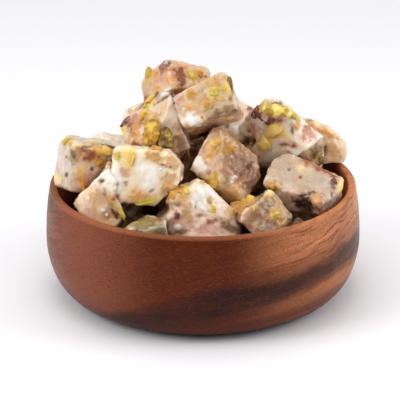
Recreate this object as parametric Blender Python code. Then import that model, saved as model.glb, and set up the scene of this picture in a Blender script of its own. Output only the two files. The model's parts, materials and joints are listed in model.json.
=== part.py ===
"""A turned wooden bowl heaped with knife-cut cubes of pistachio Turkish delight.

The bowl is a solid of revolution: a flat foot, a round belly that draws in to a thin, fully rounded lip, and a
hollow of its own. The sweets are soft cubes, no two alike. Each starts as a rounded, slightly tapered block, is
kept inside the bowl or on top of its lip, and is then pressed flat against its neighbours, so that the heap
packs as soft gel does. Three large pistachio kernels that stand proud of the cubes are solids of their own.

Origin: the middle of the foot, on the surface that the bowl stands on. +Z is up, and -Y is the front.
"""

import math
from dataclasses import dataclass
from itertools import combinations

import bmesh
import bpy
from mathutils import Euler, Matrix, Vector, noise

MM = 0.001

# The bowl, in millimetres.
BELLY_RADIUS = 63.5
BELLY_HEIGHT = 22.4
FOOT_RADIUS = 40.0
LIP_RADIUS = 60.0
LIP_HEIGHT = 43.7
LIP_THICKNESS = 3.3
WALL_AT_BELLY = 4.6
FLOOR_HEIGHT = 7.0
FLOOR_RADIUS = 33.0
LOWER_CURVE = (3.5, 1.7)
UPPER_CURVE = (1.1, 2.1)
HOLLOW_LOWER_CURVE = (2.4, 1.8)
BOWL_SEGMENTS = 48
LOWER_STEPS = 7
UPPER_STEPS = 5
LIP_STEPS = 4

# The sweets, in millimetres and degrees.
TOUCH_GAP = 0.3
WALL_GAP = 0.7
EDGE_ROUNDING = 0.032
CORNER_ROUNDING = 0.055
ROW_SPREAD = 0.4
WARP_HEIGHT = 1.3
WARP_LENGTH = 24.0
RIPPLE_HEIGHT = 0.35
RIPPLE_LENGTH = 8.0
WARP_SEED = 7
KEEP_SHAPE = 2.5
KERNEL_SEAT = 0.3
SEED_EASE = 0.1


@dataclass(frozen=True)
class Cube:
    """One cut cube: its centre, edge lengths, turn (tilt, roll, yaw), and how its faces narrow."""

    name: str
    centre: tuple
    size: tuple
    turn: tuple
    taper: tuple = (0.0, 0.0, 0.0)
    on_lip: bool = False
    cells: int = 4


@dataclass(frozen=True)
class Kernel:
    """A shelled pistachio half: its centre, length, width and thickness, and its turn."""

    name: str
    centre: tuple
    size: tuple
    turn: tuple


# The cubes come in the order in which they keep their own faces: the first press into the ones after them.
CUBES = (
    Cube("cube_crown_right", (2, -7, 79.5), (24, 15, 17), (-39, -24, 2), taper=(0.0, 0.0, 0.2)),
    Cube("cube_crown_left", (-10, 7, 79), (22, 21, 22), (-47, -6, 38)),
    Cube("cube_front_centre", (-4, -33, 41.5), (22, 22, 23), (-39, 50, -8)),
    Cube("cube_front_left", (-21, -28, 58), (26, 20, 22), (-15, 6, -5)),
    Cube("cube_middle", (5.5, -11, 54), (28.5, 21, 22), (-45, 37, 4)),
    Cube("cube_low_left", (-38.2, -29.5, 48.4), (23, 20, 22), (-20, -45, -10)),
    Cube("cube_right", (39, -16, 45.5), (27, 23, 18), (19, 7, -28)),
    Cube("cube_upper_right", (30.4, -3, 59.5), (33, 21, 24), (-56, 38, -1)),
    Cube("cube_upper_left", (-15, -3, 65), (27, 23, 24), (-56, -22, -24), taper=(0.15, 0.0, 0.0)),
    Cube("cube_left", (-46.5, -8, 55.5), (20, 19, 20), (-10, 9, 24), on_lip=True),
    Cube("cube_front_right", (20, -34, 40), (18, 21, 20), (-46, 60, -15)),
    Cube("cube_far_right", (46, 24, 51), (20, 18, 20), (-20, 20, 10), on_lip=True),
    Cube("cube_low_front", (-20, -43, 36.5), (22, 18, 20), (5, -10, 10)),
    Cube("cube_inner_right", (15, 9, 61.3), (18, 20, 21), (10, 0, 30)),
    Cube("cube_mid_right", (44, 5, 48), (15, 16, 18), (10, 10, 30)),
    Cube("cube_behind_left", (-19, 15, 64), (20, 18, 20), (-20, -20, 25)),
    Cube("cube_back_left", (-33, 10, 48), (22, 20, 22), (0, 20, 30)),
    Cube("cube_behind_right", (31.5, 18, 58.5), (18, 18, 20), (-20, 20, 10)),
    Cube("cube_back_top", (6, 27, 61), (24, 20, 21), (34, 14, -25)),
    Cube("cube_rim_right", (32, 38, 46), (24, 21, 20), (18, 14, 42)),
    Cube("cube_rim_back", (6, 47, 46), (23, 21, 21), (28, -14, 8)),
    Cube("cube_rim_left", (-20, 43, 45), (23, 20, 21), (24, 22, -24)),
    Cube("cube_rim_far_left", (-43, 25, 42), (21, 22, 20), (8, -16, 34)),
    Cube("cube_back_middle", (-12, 34, 57), (24, 21, 21), (-26, -30, 12)),
    Cube("cube_inner_left", (-10, 8, 50), (22, 22, 22), (5, 0, 10)),
    Cube("cube_inner_back", (14, 20, 46), (22, 22, 22), (-8, 6, 40)),
    Cube("cube_low_right", (34, -38, 30), (20, 20, 20), (10, 10, 35)),
)

# The large pistachio halves lie half proud of the cubes, each with its flat side pressed into one.
KERNELS = (
    Kernel("pistachio_olive", (-19.7, -14.0, 71.0), (9.6, 6.8, 5.6), (34, -50, 40)),
    Kernel("pistachio_dark", (-14.4, -15.6, 68.4), (9.0, 6.2, 5.2), (72, -10, 85)),
    Kernel("pistachio_top", (29.6, -5.2, 76.7), (12.0, 7.4, 5.6), (36, 36, 18)),
)

# The lowest layer lies on the bowl's floor: one cube in the middle and a ring of cubes round it.
FLOOR_CUBES = 7
FLOOR_RING = 36.0
FLOOR_LEVEL = 20.5
FLOOR_CUBE = (23.0, 25.0, 24.0)
FLOOR_TILT = 6.0
FLOOR_CELLS = 3


def clear_scene():
    """Remove every object that the scene holds."""
    for item in list(bpy.data.objects):
        bpy.data.objects.remove(item, do_unlink=True)


def principled(name, colour, roughness):
    """Return a Principled material of one colour and roughness."""
    material = bpy.data.materials.new(name)
    material.use_nodes = True
    shader = material.node_tree.nodes["Principled BSDF"]
    shader.inputs["Base Color"].default_value = (*colour, 1.0)
    shader.inputs["Roughness"].default_value = roughness
    shader.inputs["Metallic"].default_value = 0.0
    material.diffuse_color = (*colour, 1.0)
    return material


def add_object(name, bm, material, smooth_angle):
    """Turn a finished bmesh into a named object with its material."""
    mesh = bpy.data.meshes.new(name)
    bmesh.ops.recalc_face_normals(bm, faces=bm.faces[:])
    if bm.calc_volume(signed=True) < 0.0:
        bmesh.ops.reverse_faces(bm, faces=bm.faces[:])
    bm.to_mesh(mesh)
    bm.free()
    mesh.materials.append(material)
    mesh.shade_smooth()
    mesh.set_sharp_from_angle(angle=math.radians(smooth_angle))
    item = bpy.data.objects.new(name, mesh)
    bpy.context.scene.collection.objects.link(item)
    return item


# ---------------------------------------------------------------------------------------------------------
# Bowl
# ---------------------------------------------------------------------------------------------------------

def bulge(share, curve):
    """Return how far a superellipse quarter has swung out, from 0 to 1, at a share of its height."""
    across, along = curve
    return (1.0 - (1.0 - share) ** along) ** (1.0 / across)


def hollow_radius(height):
    """Return the inner radius of the bowl at a height between its floor and the middle of its lip."""
    belly = BELLY_RADIUS - WALL_AT_BELLY
    if height < BELLY_HEIGHT:
        share = max(0.0, (height - FLOOR_HEIGHT) / (BELLY_HEIGHT - FLOOR_HEIGHT))
        return FLOOR_RADIUS + (belly - FLOOR_RADIUS) * bulge(share, HOLLOW_LOWER_CURVE)
    mouth = LIP_RADIUS - LIP_THICKNESS / 2.0
    share = min(1.0, (height - BELLY_HEIGHT) / (LIP_HEIGHT - BELLY_HEIGHT))
    return mouth + (belly - mouth) * bulge(1.0 - share, (UPPER_CURVE[1], UPPER_CURVE[1]))


def outer_profile():
    """Return the outer side's points (radius, height), from the foot's edge up to the lip."""
    points = []
    for step in range(LOWER_STEPS + 1):
        angle = math.pi / 2.0 * step / LOWER_STEPS
        swing = math.sin(angle) ** (2.0 / LOWER_CURVE[0])
        rise = 1.0 - math.cos(angle) ** (2.0 / LOWER_CURVE[1])
        points.append((FOOT_RADIUS + (BELLY_RADIUS - FOOT_RADIUS) * swing, BELLY_HEIGHT * rise))
    lip = LIP_RADIUS + LIP_THICKNESS / 2.0
    for step in range(1, UPPER_STEPS + 1):
        angle = math.pi / 2.0 * step / UPPER_STEPS
        swing = math.cos(angle) ** (2.0 / UPPER_CURVE[0])
        rise = math.sin(angle) ** (2.0 / UPPER_CURVE[1])
        points.append((lip + (BELLY_RADIUS - lip) * swing, BELLY_HEIGHT + (LIP_HEIGHT - BELLY_HEIGHT) * rise))
    return points


def lip_profile():
    """Return the points of the half-round lip, from its outer to its inner side."""
    half = LIP_THICKNESS / 2.0
    angles = [math.pi * step / LIP_STEPS for step in range(1, LIP_STEPS)]
    return [(LIP_RADIUS + half * math.cos(angle), LIP_HEIGHT + half * math.sin(angle)) for angle in angles]


def inner_profile():
    """Return the hollow's points, from the lip down to the edge of the flat floor."""
    heights = []
    for step in range(UPPER_STEPS):
        heights.append(LIP_HEIGHT + (BELLY_HEIGHT - LIP_HEIGHT) * step / UPPER_STEPS)
    for step in range(LOWER_STEPS + 1):
        angle = math.pi / 2.0 * step / LOWER_STEPS
        heights.append(FLOOR_HEIGHT + (BELLY_HEIGHT - FLOOR_HEIGHT) * (1.0 - math.sin(angle)))
    return [(hollow_radius(height), height) for height in heights]


def build_bowl(material):
    """Spin the bowl's wall round the Z axis and close it with its flat foot and flat floor."""
    bm = bmesh.new()
    profile = outer_profile() + lip_profile() + inner_profile()
    rim = [bm.verts.new((radius * MM, 0.0, height * MM)) for radius, height in profile]
    edges = [bm.edges.new(pair) for pair in zip(rim, rim[1:])]
    bmesh.ops.spin(bm, geom=rim + edges, cent=(0, 0, 0), axis=(0, 0, 1), angle=math.tau, steps=BOWL_SEGMENTS)
    bmesh.ops.remove_doubles(bm, verts=bm.verts[:], dist=0.01 * MM)
    bmesh.ops.holes_fill(bm, edges=[edge for edge in bm.edges if edge.is_boundary], sides=0)
    return add_object("bowl", bm, material, 40)


# ---------------------------------------------------------------------------------------------------------
# Sweets
# ---------------------------------------------------------------------------------------------------------

class SoftSolid:
    """A convex soft solid with the face planes that its neighbours can be pressed against."""

    def __init__(self, name, bm, axes, seed=False):
        """Keep the mesh, the directions of the faces that can press, and whether the solid is a seed."""
        self.name = name
        self.bm = bm
        self.axes = axes
        self.seed = seed

    def reach(self, direction):
        """Return how far the solid reaches along a direction."""
        return max(vert.co.dot(direction) for vert in self.bm.verts)

    def press(self, direction, limit):
        """Flatten the solid where it reaches beyond a limit along a direction."""
        if self.reach(direction) <= limit:
            return
        bm = self.bm
        bmesh.ops.bisect_plane(bm, geom=bm.verts[:] + bm.edges[:] + bm.faces[:], dist=0.001 * MM,
                               plane_co=direction * limit, plane_no=direction, clear_outer=True)
        bmesh.ops.remove_doubles(bm, verts=bm.verts[:], dist=0.05 * MM)
        bmesh.ops.holes_fill(bm, edges=[edge for edge in bm.edges if edge.is_boundary], sides=0)

    def middle(self):
        """Return the mean of the solid's points."""
        return sum((vert.co for vert in self.bm.verts), Vector()) / len(self.bm.verts)

    def sides_facing(self, other):
        """Return the directions in which this solid may press another: two seeds meet halfway."""
        if self.seed and other.seed:
            return [(other.middle() - self.middle()).normalized()]
        return self.axes


def even_out(share):
    """Move a row of points on a cube's face towards its edges, so that the rounding stays tight."""
    return math.copysign(0.5 * abs(2.0 * share) ** ROW_SPREAD, share)


def rounded(point):
    """Draw in a unit cube's edges and corners."""
    outer = [abs(abs(value) - 0.5) < 1e-6 for value in point]
    pull = (0.0, 0.0, EDGE_ROUNDING, CORNER_ROUNDING)[sum(outer)]
    return Vector([value - math.copysign(pull, value) if edge else value for value, edge in zip(point, outer)])


def block(cube):
    """Return a bmesh of one cube in place: rounded, tapered and slightly warped."""
    bm = bmesh.new()
    bmesh.ops.create_cube(bm, size=1.0)
    bmesh.ops.subdivide_edges(bm, edges=bm.edges[:], cuts=cube.cells - 1, use_grid_fill=True)
    turn = Euler([math.radians(angle) for angle in cube.turn], "ZXY").to_matrix()
    centre = Vector(cube.centre)
    shift = Vector((7.3 * len(cube.name), cube.centre[0], cube.centre[1]))
    for vert in bm.verts:
        point = rounded(Vector([even_out(value) for value in vert.co]))
        local = Vector((point.x * cube.size[0] * (1.0 - cube.taper[0] * point.z),
                        point.y * cube.size[1] * (1.0 - cube.taper[1] * point.z),
                        point.z * cube.size[2] * (1.0 + cube.taper[2] * point.x)))
        local += WARP_HEIGHT * noise.noise_vector((local + shift) / WARP_LENGTH)
        local += RIPPLE_HEIGHT * noise.noise_vector((local + shift) / RIPPLE_LENGTH)
        vert.co = (centre + turn @ local) * MM
    return bm, turn


def inside_bowl(point):
    """Tell whether a point, in millimetres, is clear of the bowl's wall and floor, or above its mouth."""
    height = min(point.z, LIP_HEIGHT)
    return point.z >= FLOOR_HEIGHT + WALL_GAP and math.hypot(point.x, point.y) <= hollow_radius(height) - WALL_GAP


def draw_in(point):
    """Return a point moved towards the middle of the bowl until it is clear of the wall."""
    if inside_bowl(point):
        return point
    anchor = Vector((0.0, 0.0, max(point.z, (FLOOR_HEIGHT + LIP_HEIGHT) / 2.0)))
    near, far = 0.0, 1.0
    for _ in range(30):
        middle = (near + far) / 2.0
        if inside_bowl(anchor.lerp(point, middle)):
            near = middle
        else:
            far = middle
    return anchor.lerp(point, near)


def build_cube(cube):
    """Return one cube, kept inside the bowl or resting on its lip."""
    bm, turn = block(cube)
    axes = [sign * turn.col[index] for index in range(3) for sign in (1.0, -1.0)]
    solid = SoftSolid(cube.name, bm, axes)
    if cube.on_lip:
        solid.press(Vector((0.0, 0.0, -1.0)), -(LIP_HEIGHT + LIP_THICKNESS / 2.0 + TOUCH_GAP) * MM)
    else:
        for vert in bm.verts:
            vert.co = draw_in(vert.co / MM) * MM
    return solid


def floor_layer():
    """Return the cubes that lie on the bowl's floor, each turned its own way."""
    middle = (0.0, 0.0, FLOOR_LEVEL)
    cubes = [Cube("cube_floor_middle", middle, FLOOR_CUBE, (FLOOR_TILT, 0.0, 20.0), cells=FLOOR_CELLS)]
    for index in range(FLOOR_CUBES):
        angle = math.tau * index / FLOOR_CUBES
        place = (FLOOR_RING * math.cos(angle), FLOOR_RING * math.sin(angle), FLOOR_LEVEL)
        yaw = math.degrees(angle) + FLOOR_TILT * math.sin(5.0 * index)
        turn = (FLOOR_TILT * math.sin(2.0 * index), FLOOR_TILT * math.cos(3.0 * index), yaw)
        cubes.append(Cube(f"cube_floor_{index + 1}", place, FLOOR_CUBE, turn, cells=FLOOR_CELLS))
    return cubes


def build_kernel(kernel):
    """Return one pistachio half in place: a plump seed, pointed at one end, with a flat underside."""
    bm = bmesh.new()
    bmesh.ops.create_uvsphere(bm, u_segments=10, v_segments=7, radius=0.5)
    turn = Euler([math.radians(angle) for angle in kernel.turn], "ZXY").to_matrix()
    spin = Matrix.Rotation(math.pi / 2.0, 3, "Y")
    for vert in bm.verts:
        point = spin @ vert.co
        narrow = 1.0 - 0.35 * max(0.0, point.x)
        local = Vector((point.x * kernel.size[0], point.y * kernel.size[1] * narrow,
                        point.z * kernel.size[2] * narrow))
        vert.co = (Vector(kernel.centre) + turn @ local) * MM
    down = -(turn.col[2])
    solid = SoftSolid(kernel.name, bm, [down], seed=True)
    solid.press(down, (Vector(kernel.centre).dot(down) + KERNEL_SEAT * kernel.size[2]) * MM)
    return solid


def part_pair(first, second):
    """Part two solids that cross, along the face that costs least; the first keeps its shape more readily."""
    gap = TOUCH_GAP * MM
    choices = []
    for owner, other, cost in ((first, second, 1.0), (second, first, KEEP_SHAPE)):
        ease = SEED_EASE if owner.seed else 1.0
        for axis in owner.sides_facing(other):
            depth = owner.reach(axis) + other.reach(-axis) + gap
            choices.append((depth * cost * ease, owner, other, axis))
    cost, owner, other, axis = min(choices, key=lambda choice: choice[0])
    if cost > 0.0:
        other.press(-axis, -(owner.reach(axis) + gap))


def main():
    """Build the bowl, the cubes and the kernels."""
    clear_scene()
    noise.seed_set(WARP_SEED)
    wood = principled("acacia", (0.30, 0.11, 0.05), 0.42)
    gel = principled("delight", (0.86, 0.76, 0.62), 0.35)
    nut = principled("pistachio", (0.62, 0.52, 0.10), 0.5)
    build_bowl(wood)
    solids = [build_cube(cube) for cube in (*CUBES, *floor_layer())]
    solids += [build_kernel(kernel) for kernel in KERNELS]
    for first, second in combinations(solids, 2):
        part_pair(first, second)
    for solid in solids:
        add_object(solid.name, solid.bm, nut if solid.name.startswith("pistachio") else gel, 30)


main()
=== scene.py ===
"""A turned acacia bowl heaped with sticky, knife-cut cubes of pistachio Turkish delight.

Lengths inside the classes are in metres unless a name ends in _mm. The front of the bowl looks along -Y.
"""

import json
import logging
import math
import random
from dataclasses import dataclass, field
from enum import Enum
from typing import ClassVar, Optional, Sequence, Union

import bpy
import numpy as np
from mathutils import Matrix, Vector, noise
from mathutils.bvhtree import BVHTree

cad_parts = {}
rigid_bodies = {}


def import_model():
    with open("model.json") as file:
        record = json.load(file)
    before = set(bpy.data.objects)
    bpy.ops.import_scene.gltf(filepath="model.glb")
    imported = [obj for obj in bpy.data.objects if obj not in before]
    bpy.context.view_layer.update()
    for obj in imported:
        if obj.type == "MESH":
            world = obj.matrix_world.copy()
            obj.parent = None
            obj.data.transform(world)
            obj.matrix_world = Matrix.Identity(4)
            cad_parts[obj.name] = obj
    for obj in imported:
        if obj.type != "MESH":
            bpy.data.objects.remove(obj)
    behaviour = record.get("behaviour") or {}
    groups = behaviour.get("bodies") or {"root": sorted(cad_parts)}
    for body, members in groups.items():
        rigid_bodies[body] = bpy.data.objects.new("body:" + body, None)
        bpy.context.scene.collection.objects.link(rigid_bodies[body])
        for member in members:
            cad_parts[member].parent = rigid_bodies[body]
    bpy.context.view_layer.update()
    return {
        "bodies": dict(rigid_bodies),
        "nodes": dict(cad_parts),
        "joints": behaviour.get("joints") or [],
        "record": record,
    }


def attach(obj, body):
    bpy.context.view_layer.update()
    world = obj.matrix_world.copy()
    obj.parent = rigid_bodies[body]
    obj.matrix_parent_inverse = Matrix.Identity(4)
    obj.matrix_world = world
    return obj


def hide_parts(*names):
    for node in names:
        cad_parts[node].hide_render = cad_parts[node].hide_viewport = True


MM = 0.001
SEED = 23
LOG = logging.getLogger("turkish_delight")

Colour = tuple[float, float, float]
Setting = Union[str, float, int, bool, Sequence[float]]


def dye(red: int, green: int, blue: int) -> Colour:
    """Turns a colour as a paint chart gives it, 0 to 255, into linear light."""
    parts = (red / 255, green / 255, blue / 255)
    return tuple(p / 12.92 if p <= 0.04 else ((p + 0.055) / 1.055) ** 2.4 for p in parts)


# ---- Shader writing ----


class Number:
    """A number in a shader. Arithmetic on it adds Math nodes to the material it belongs to."""

    def __init__(self, shader: "Shader", socket: bpy.types.NodeSocket) -> None:
        """Wraps an output socket.

        Args:
            shader: the material being written.
            socket: the output that carries the number.
        """
        self.shader = shader
        self.socket = socket

    def _math(self, operation: str, *terms: Union["Number", float]) -> "Number":
        """Adds one Math node.

        Args:
            operation: Blender's name for the sum.
            terms: its inputs in order, as numbers or sockets.

        Returns:
            The node's result.
        """
        node = self.shader.node("ShaderNodeMath", {"operation": operation}, dict(enumerate(terms)))
        return Number(self.shader, node.outputs[0])

    def __add__(self, other: Union["Number", float]) -> "Number":
        """Adds."""
        return self._math("ADD", self, other)

    __radd__ = __add__

    def __sub__(self, other: Union["Number", float]) -> "Number":
        """Subtracts."""
        return self._math("SUBTRACT", self, other)

    def __rsub__(self, other: float) -> "Number":
        """Subtracts from a plain number."""
        return self._math("SUBTRACT", other, self)

    def __mul__(self, other: Union["Number", float]) -> "Number":
        """Multiplies."""
        return self._math("MULTIPLY", self, other)

    __rmul__ = __mul__

    def absolute(self) -> "Number":
        """Drops the sign."""
        return self._math("ABSOLUTE", self)

    def at_least(self, least: float) -> "Number":
        """Lifts what is lower to least."""
        return self._math("MAXIMUM", self, least)

    def ramp(self, low: float, high: float, first: float = 0.0, last: float = 1.0) -> "Number":
        """Eases from one value to another.

        Args:
            low: the input at which the result is first.
            high: the input at which the result is last.
            first: the result at and below low.
            last: the result at and above high.

        Returns:
            The eased number.
        """
        node = self.shader.node(
            "ShaderNodeMapRange",
            {"interpolation_type": "SMOOTHSTEP"},
            {"Value": self, "From Min": low, "From Max": high, "To Min": first, "To Max": last},
        )
        return Number(self.shader, node.outputs["Result"])


Link = Union[Number, bpy.types.NodeSocket, Setting]


class Shader:
    """A material's node sheet, written from code."""

    def __init__(self, name: str) -> None:
        """Starts a material with an empty sheet.

        Args:
            name: the material's name.
        """
        self.material = bpy.data.materials.new(name)
        self.material.use_nodes = True
        self.tree = self.material.node_tree
        self.tree.nodes.clear()
        self.place = self.node("ShaderNodeTexCoord").outputs["Object"]

    def node(
        self,
        kind: str,
        settings: Optional[dict[str, Setting]] = None,
        inputs: Optional[dict[Union[str, int], Link]] = None,
    ) -> bpy.types.Node:
        """Adds any node.

        Args:
            kind: Blender's type of node.
            settings: its own settings, made before its sockets are filled.
            inputs: what each socket gets, by name, identifier or number.

        Returns:
            The node.
        """
        node = self.tree.nodes.new(kind)
        for key, value in (settings or {}).items():
            setattr(node, key, value)
        for key, value in (inputs or {}).items():
            socket = node.inputs[key] if isinstance(key, int) else self._socket(node, key)
            if isinstance(value, Number):
                value = value.socket
            if isinstance(value, bpy.types.NodeSocket):
                self.tree.links.new(value, socket)
            elif isinstance(value, tuple) and socket.type == "RGBA" and len(value) == 3:
                socket.default_value = (*value, 1.0)
            else:
                socket.default_value = value
        return node

    @staticmethod
    def _socket(node: bpy.types.Node, key: str) -> bpy.types.NodeSocket:
        """Finds an input by its identifier, or else by its name."""
        return next((s for s in node.inputs if s.identifier == key), None) or node.inputs[key]

    def number(self, socket: bpy.types.NodeSocket) -> Number:
        """Wraps a socket for arithmetic."""
        return Number(self, socket)

    def attribute(self, name: str) -> bpy.types.Node:
        """Reads a value painted on the mesh."""
        return self.node("ShaderNodeAttribute", {"attribute_type": "GEOMETRY", "attribute_name": name})

    def vector(self, x: Link, y: Link, z: Link) -> bpy.types.NodeSocket:
        """Joins three numbers into coordinates."""
        return self.node("ShaderNodeCombineXYZ", None, {0: x, 1: y, 2: z}).outputs[0]

    def stretched(self, scale: Sequence[float], tilt_deg: float = 0.0) -> bpy.types.NodeSocket:
        """Tilts and scales the object's own coordinates.

        Args:
            scale: how many pattern lengths fit in a metre along each axis.
            tilt_deg: the turn about the axis from front to back.

        Returns:
            The coordinates.
        """
        place = self.place
        for key, value in (("Rotation", [0.0, math.radians(tilt_deg), 0.0]), ("Scale", list(scale))):
            mapping = self.node("ShaderNodeMapping", {"vector_type": "POINT"}, {"Vector": place, key: value})
            place = mapping.outputs[0]
        return place

    def noise(
        self,
        scale: float,
        detail: float = 2.0,
        roughness: float = 0.5,
        at: Optional[bpy.types.NodeSocket] = None,
    ) -> Number:
        """Adds smooth noise between 0 and 1.

        Args:
            scale: pattern lengths in a unit of the coordinates.
            detail: octaves.
            roughness: how strong the fine octaves are.
            at: coordinates, or None for the object's own.

        Returns:
            The noise.
        """
        node = self.node(
            "ShaderNodeTexNoise",
            {"noise_dimensions": "3D"},
            {"Vector": at or self.place, "Scale": scale, "Detail": detail, "Roughness": roughness},
        )
        return Number(self, node.outputs[0])

    def mix(self, share: Link, first: Link, second: Link, blend: str = "MIX") -> bpy.types.NodeSocket:
        """Mixes two colours.

        Args:
            share: how much of the second.
            first: the colour underneath.
            second: the colour on top.
            blend: how they are combined.

        Returns:
            The colour.
        """
        node = self.node(
            "ShaderNodeMix",
            {"data_type": "RGBA", "blend_type": blend, "clamp_factor": True},
            {"Factor_Float": share, "A_Color": first, "B_Color": second},
        )
        return next(s for s in node.outputs if s.identifier == "Result_Color")

    def bump(self, height: Number, depth: float, strength: float = 1.0) -> bpy.types.NodeSocket:
        """Turns a height into a bumped normal.

        Args:
            height: the height, 0 to 1.
            depth: how deep 1 is, in metres.
            strength: how much of it shows.

        Returns:
            The normal.
        """
        node = self.node("ShaderNodeBump", None, {"Height": height, "Distance": depth, "Strength": strength})
        return node.outputs[0]

    def finish(self, **inputs: Link) -> bpy.types.Material:
        """Ends the sheet in one Principled shader.

        Args:
            inputs: the shader's sockets, with underscores for spaces.

        Returns:
            The material.
        """
        sockets = {name.replace("_", " "): value for name, value in inputs.items()}
        shader = self.node("ShaderNodeBsdfPrincipled", None, sockets)
        self.node("ShaderNodeOutputMaterial", None, {"Surface": shader.outputs[0]})
        return self.material


# ---- Finishes ----


@dataclass(frozen=True)
class AcaciaFinish:
    """Oiled acacia: flat-sawn growth layers, one dark streak that falls to the left, and short open pores."""

    red_brown: Colour = dye(96, 37, 9)
    deep_brown: Colour = dye(70, 24, 8)
    orange: Colour = dye(214, 134, 84)
    # Painted light at the upper right.
    honey: Colour = dye(236, 158, 106)
    # A painted sheen at the left.
    rosy: Colour = dye(156, 90, 64)
    heart: Colour = dye(38, 18, 18)
    # Painted shadow where the foot meets the floor.
    painted_foot_shadow: Colour = dye(20, 12, 10)
    open_pore: Colour = dye(50, 22, 14)
    grain_tilt_deg: float = 10.0
    layer_lean: float = 0.17
    layer_sag: float = 3.2
    streak_height: float = 14.5 * MM
    streak_width: float = 5.2 * MM
    lip_height: float = 44 * MM
    pore_depth: float = 0.12 * MM

    def material(self) -> bpy.types.Material:
        """Writes the wood's material.

        Returns:
            The material.
        """
        s = Shader("acacia_wood")
        tilt = self.grain_tilt_deg
        parts = s.node("ShaderNodeSeparateXYZ", None, {"Vector": s.place})
        x, y, z = (s.number(parts.outputs[i]) for i in range(3))

        # The growth layers, and the fine lines in them.
        waver = (s.noise(26, 2.0, 0.55, s.stretched((0.45, 1, 1))) - 0.5) * (9 * MM)
        fine_waver = (s.noise(170, 2.0, 0.5, s.stretched((0.25, 1, 1))) - 0.5) * (1.4 * MM)
        left = (20 * MM - x).at_least(0.0)
        layer = z - x * self.layer_lean + y * 0.06 + left * left * self.layer_sag + waver + fine_waver
        bands = s.noise(210, 3.0, 0.6, s.vector(x * 0.03, y * 0.12, layer))
        lines = s.noise(900, 2.0, 0.6, s.vector(x * 0.03, y * 0.1, layer))

        # The broad colours: red-brown and orange growth layers. The orange and honey at the upper right are
        # also painted light, and the rosy left is a painted sheen.
        right = (x + y * 0.1 + waver * 2).ramp(2 * MM, 44 * MM)
        painted_right_light = right * z.ramp(4 * MM, 26 * MM, 0.4, 1.0)
        painted_left_sheen = (x + waver * 2).ramp(-46 * MM, -16 * MM, 1.0, 0.0)
        behind = (y - x * 0.5).ramp(-12 * MM, 14 * MM)
        wood = s.mix(bands.ramp(0.38, 0.62) * (right * 0.5 + 0.4), self.red_brown, self.deep_brown)
        wood = s.mix(painted_right_light * bands.ramp(0.25, 0.6, 1.0, 0.35), wood, self.orange)
        wood = s.mix(right * z.ramp(26 * MM, 40 * MM) * 0.4, wood, self.honey)
        wood = s.mix(painted_left_sheen * 0.6, wood, self.rosy)
        wood = s.mix(lines.ramp(0.48, 0.7) * (right * 0.5 + 0.12), wood, self.deep_brown)
        wood = s.mix(bands.ramp(0.42, 0.62) * behind * 0.75, wood, self.deep_brown)
        wood = s.mix(lines.ramp(0.46, 0.66) * behind * 0.5, wood, self.deep_brown)

        # The dark streak, with a ragged edge and a paler layer under it.
        ragged = s.noise(150, 5.0, 0.7, s.stretched((0.14, 0.6, 1.2), tilt))
        islands = s.noise(85, 4.0, 0.65, s.stretched((0.35, 1, 1.4), tilt))
        spread = (layer - self.streak_height).absolute() + (ragged - 0.5) * (9 * MM)
        streak = spread.ramp(self.streak_width * 0.3, self.streak_width * 1.8, 1.0, 0.0)
        streak = streak * islands.ramp(0.36, 0.5, 0.7, 1.0)
        wood = s.mix(streak * (0.98 - right * 0.14), wood, self.heart)
        under = (layer - (self.streak_height - 8 * MM)).absolute().ramp(1 * MM, 6 * MM, 1.0, 0.0)
        wood = s.mix(under * right * 0.3, wood, self.orange)

        # Painted shade: darker towards the foot, and near black where the bowl meets the floor.
        wood = s.mix(z.ramp(1 * MM, 18 * MM, 0.55, 0.0), wood, self.deep_brown)
        wood = s.mix(z.ramp(0.6 * MM, 4.0 * MM, 0.95, 0.0), wood, self.painted_foot_shadow)

        # Pores and speckle along the grain. The paler lip top and the paler upper hollow are painted light.
        pores = s.noise(1.0, 2.0, 0.6, s.stretched((300, 1500, 1800), tilt))
        dash = pores.ramp(0.6, 0.7) * s.noise(60, 1.0, 0.5).ramp(0.36, 0.6, 0.4, 1.0)
        speckle = s.noise(1.0, 3.0, 0.75, s.stretched((620, 2300, 2300), tilt))
        wood = s.mix(speckle.ramp(0.46, 0.66) * 0.45, wood, self.deep_brown)
        wood = s.mix(speckle.ramp(0.48, 0.32) * 0.09, wood, self.orange)
        wood = s.mix((z - self.lip_height).ramp(0.0, 0.8 * MM) * 0.25, wood, self.orange)
        flat = s.node("ShaderNodeVectorMath", {"operation": "LENGTH"}, {0: s.vector(x, y, 0.0)})
        radius = s.number(flat.outputs["Value"])
        # Painted light on the upper inside wall.
        hollow = radius.ramp(58.2 * MM, 59.4 * MM, 1.0, 0.0) * z.ramp(24 * MM, 42 * MM)
        wood = s.mix(hollow * 0.7, wood, self.orange)
        wood = s.mix(dash * 0.6, wood, self.open_pore)
        return s.finish(
            Base_Color=wood,
            Roughness=lines * 0.16 + 0.3 + dash * 0.2,
            Normal=s.bump(bands * 0.3 + lines * 0.25 - dash * 0.9, self.pore_depth, 0.7),
            Coat_Weight=0.04,
            Coat_Roughness=0.2,
            Specular_IOR_Level=0.1,
        )


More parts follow.
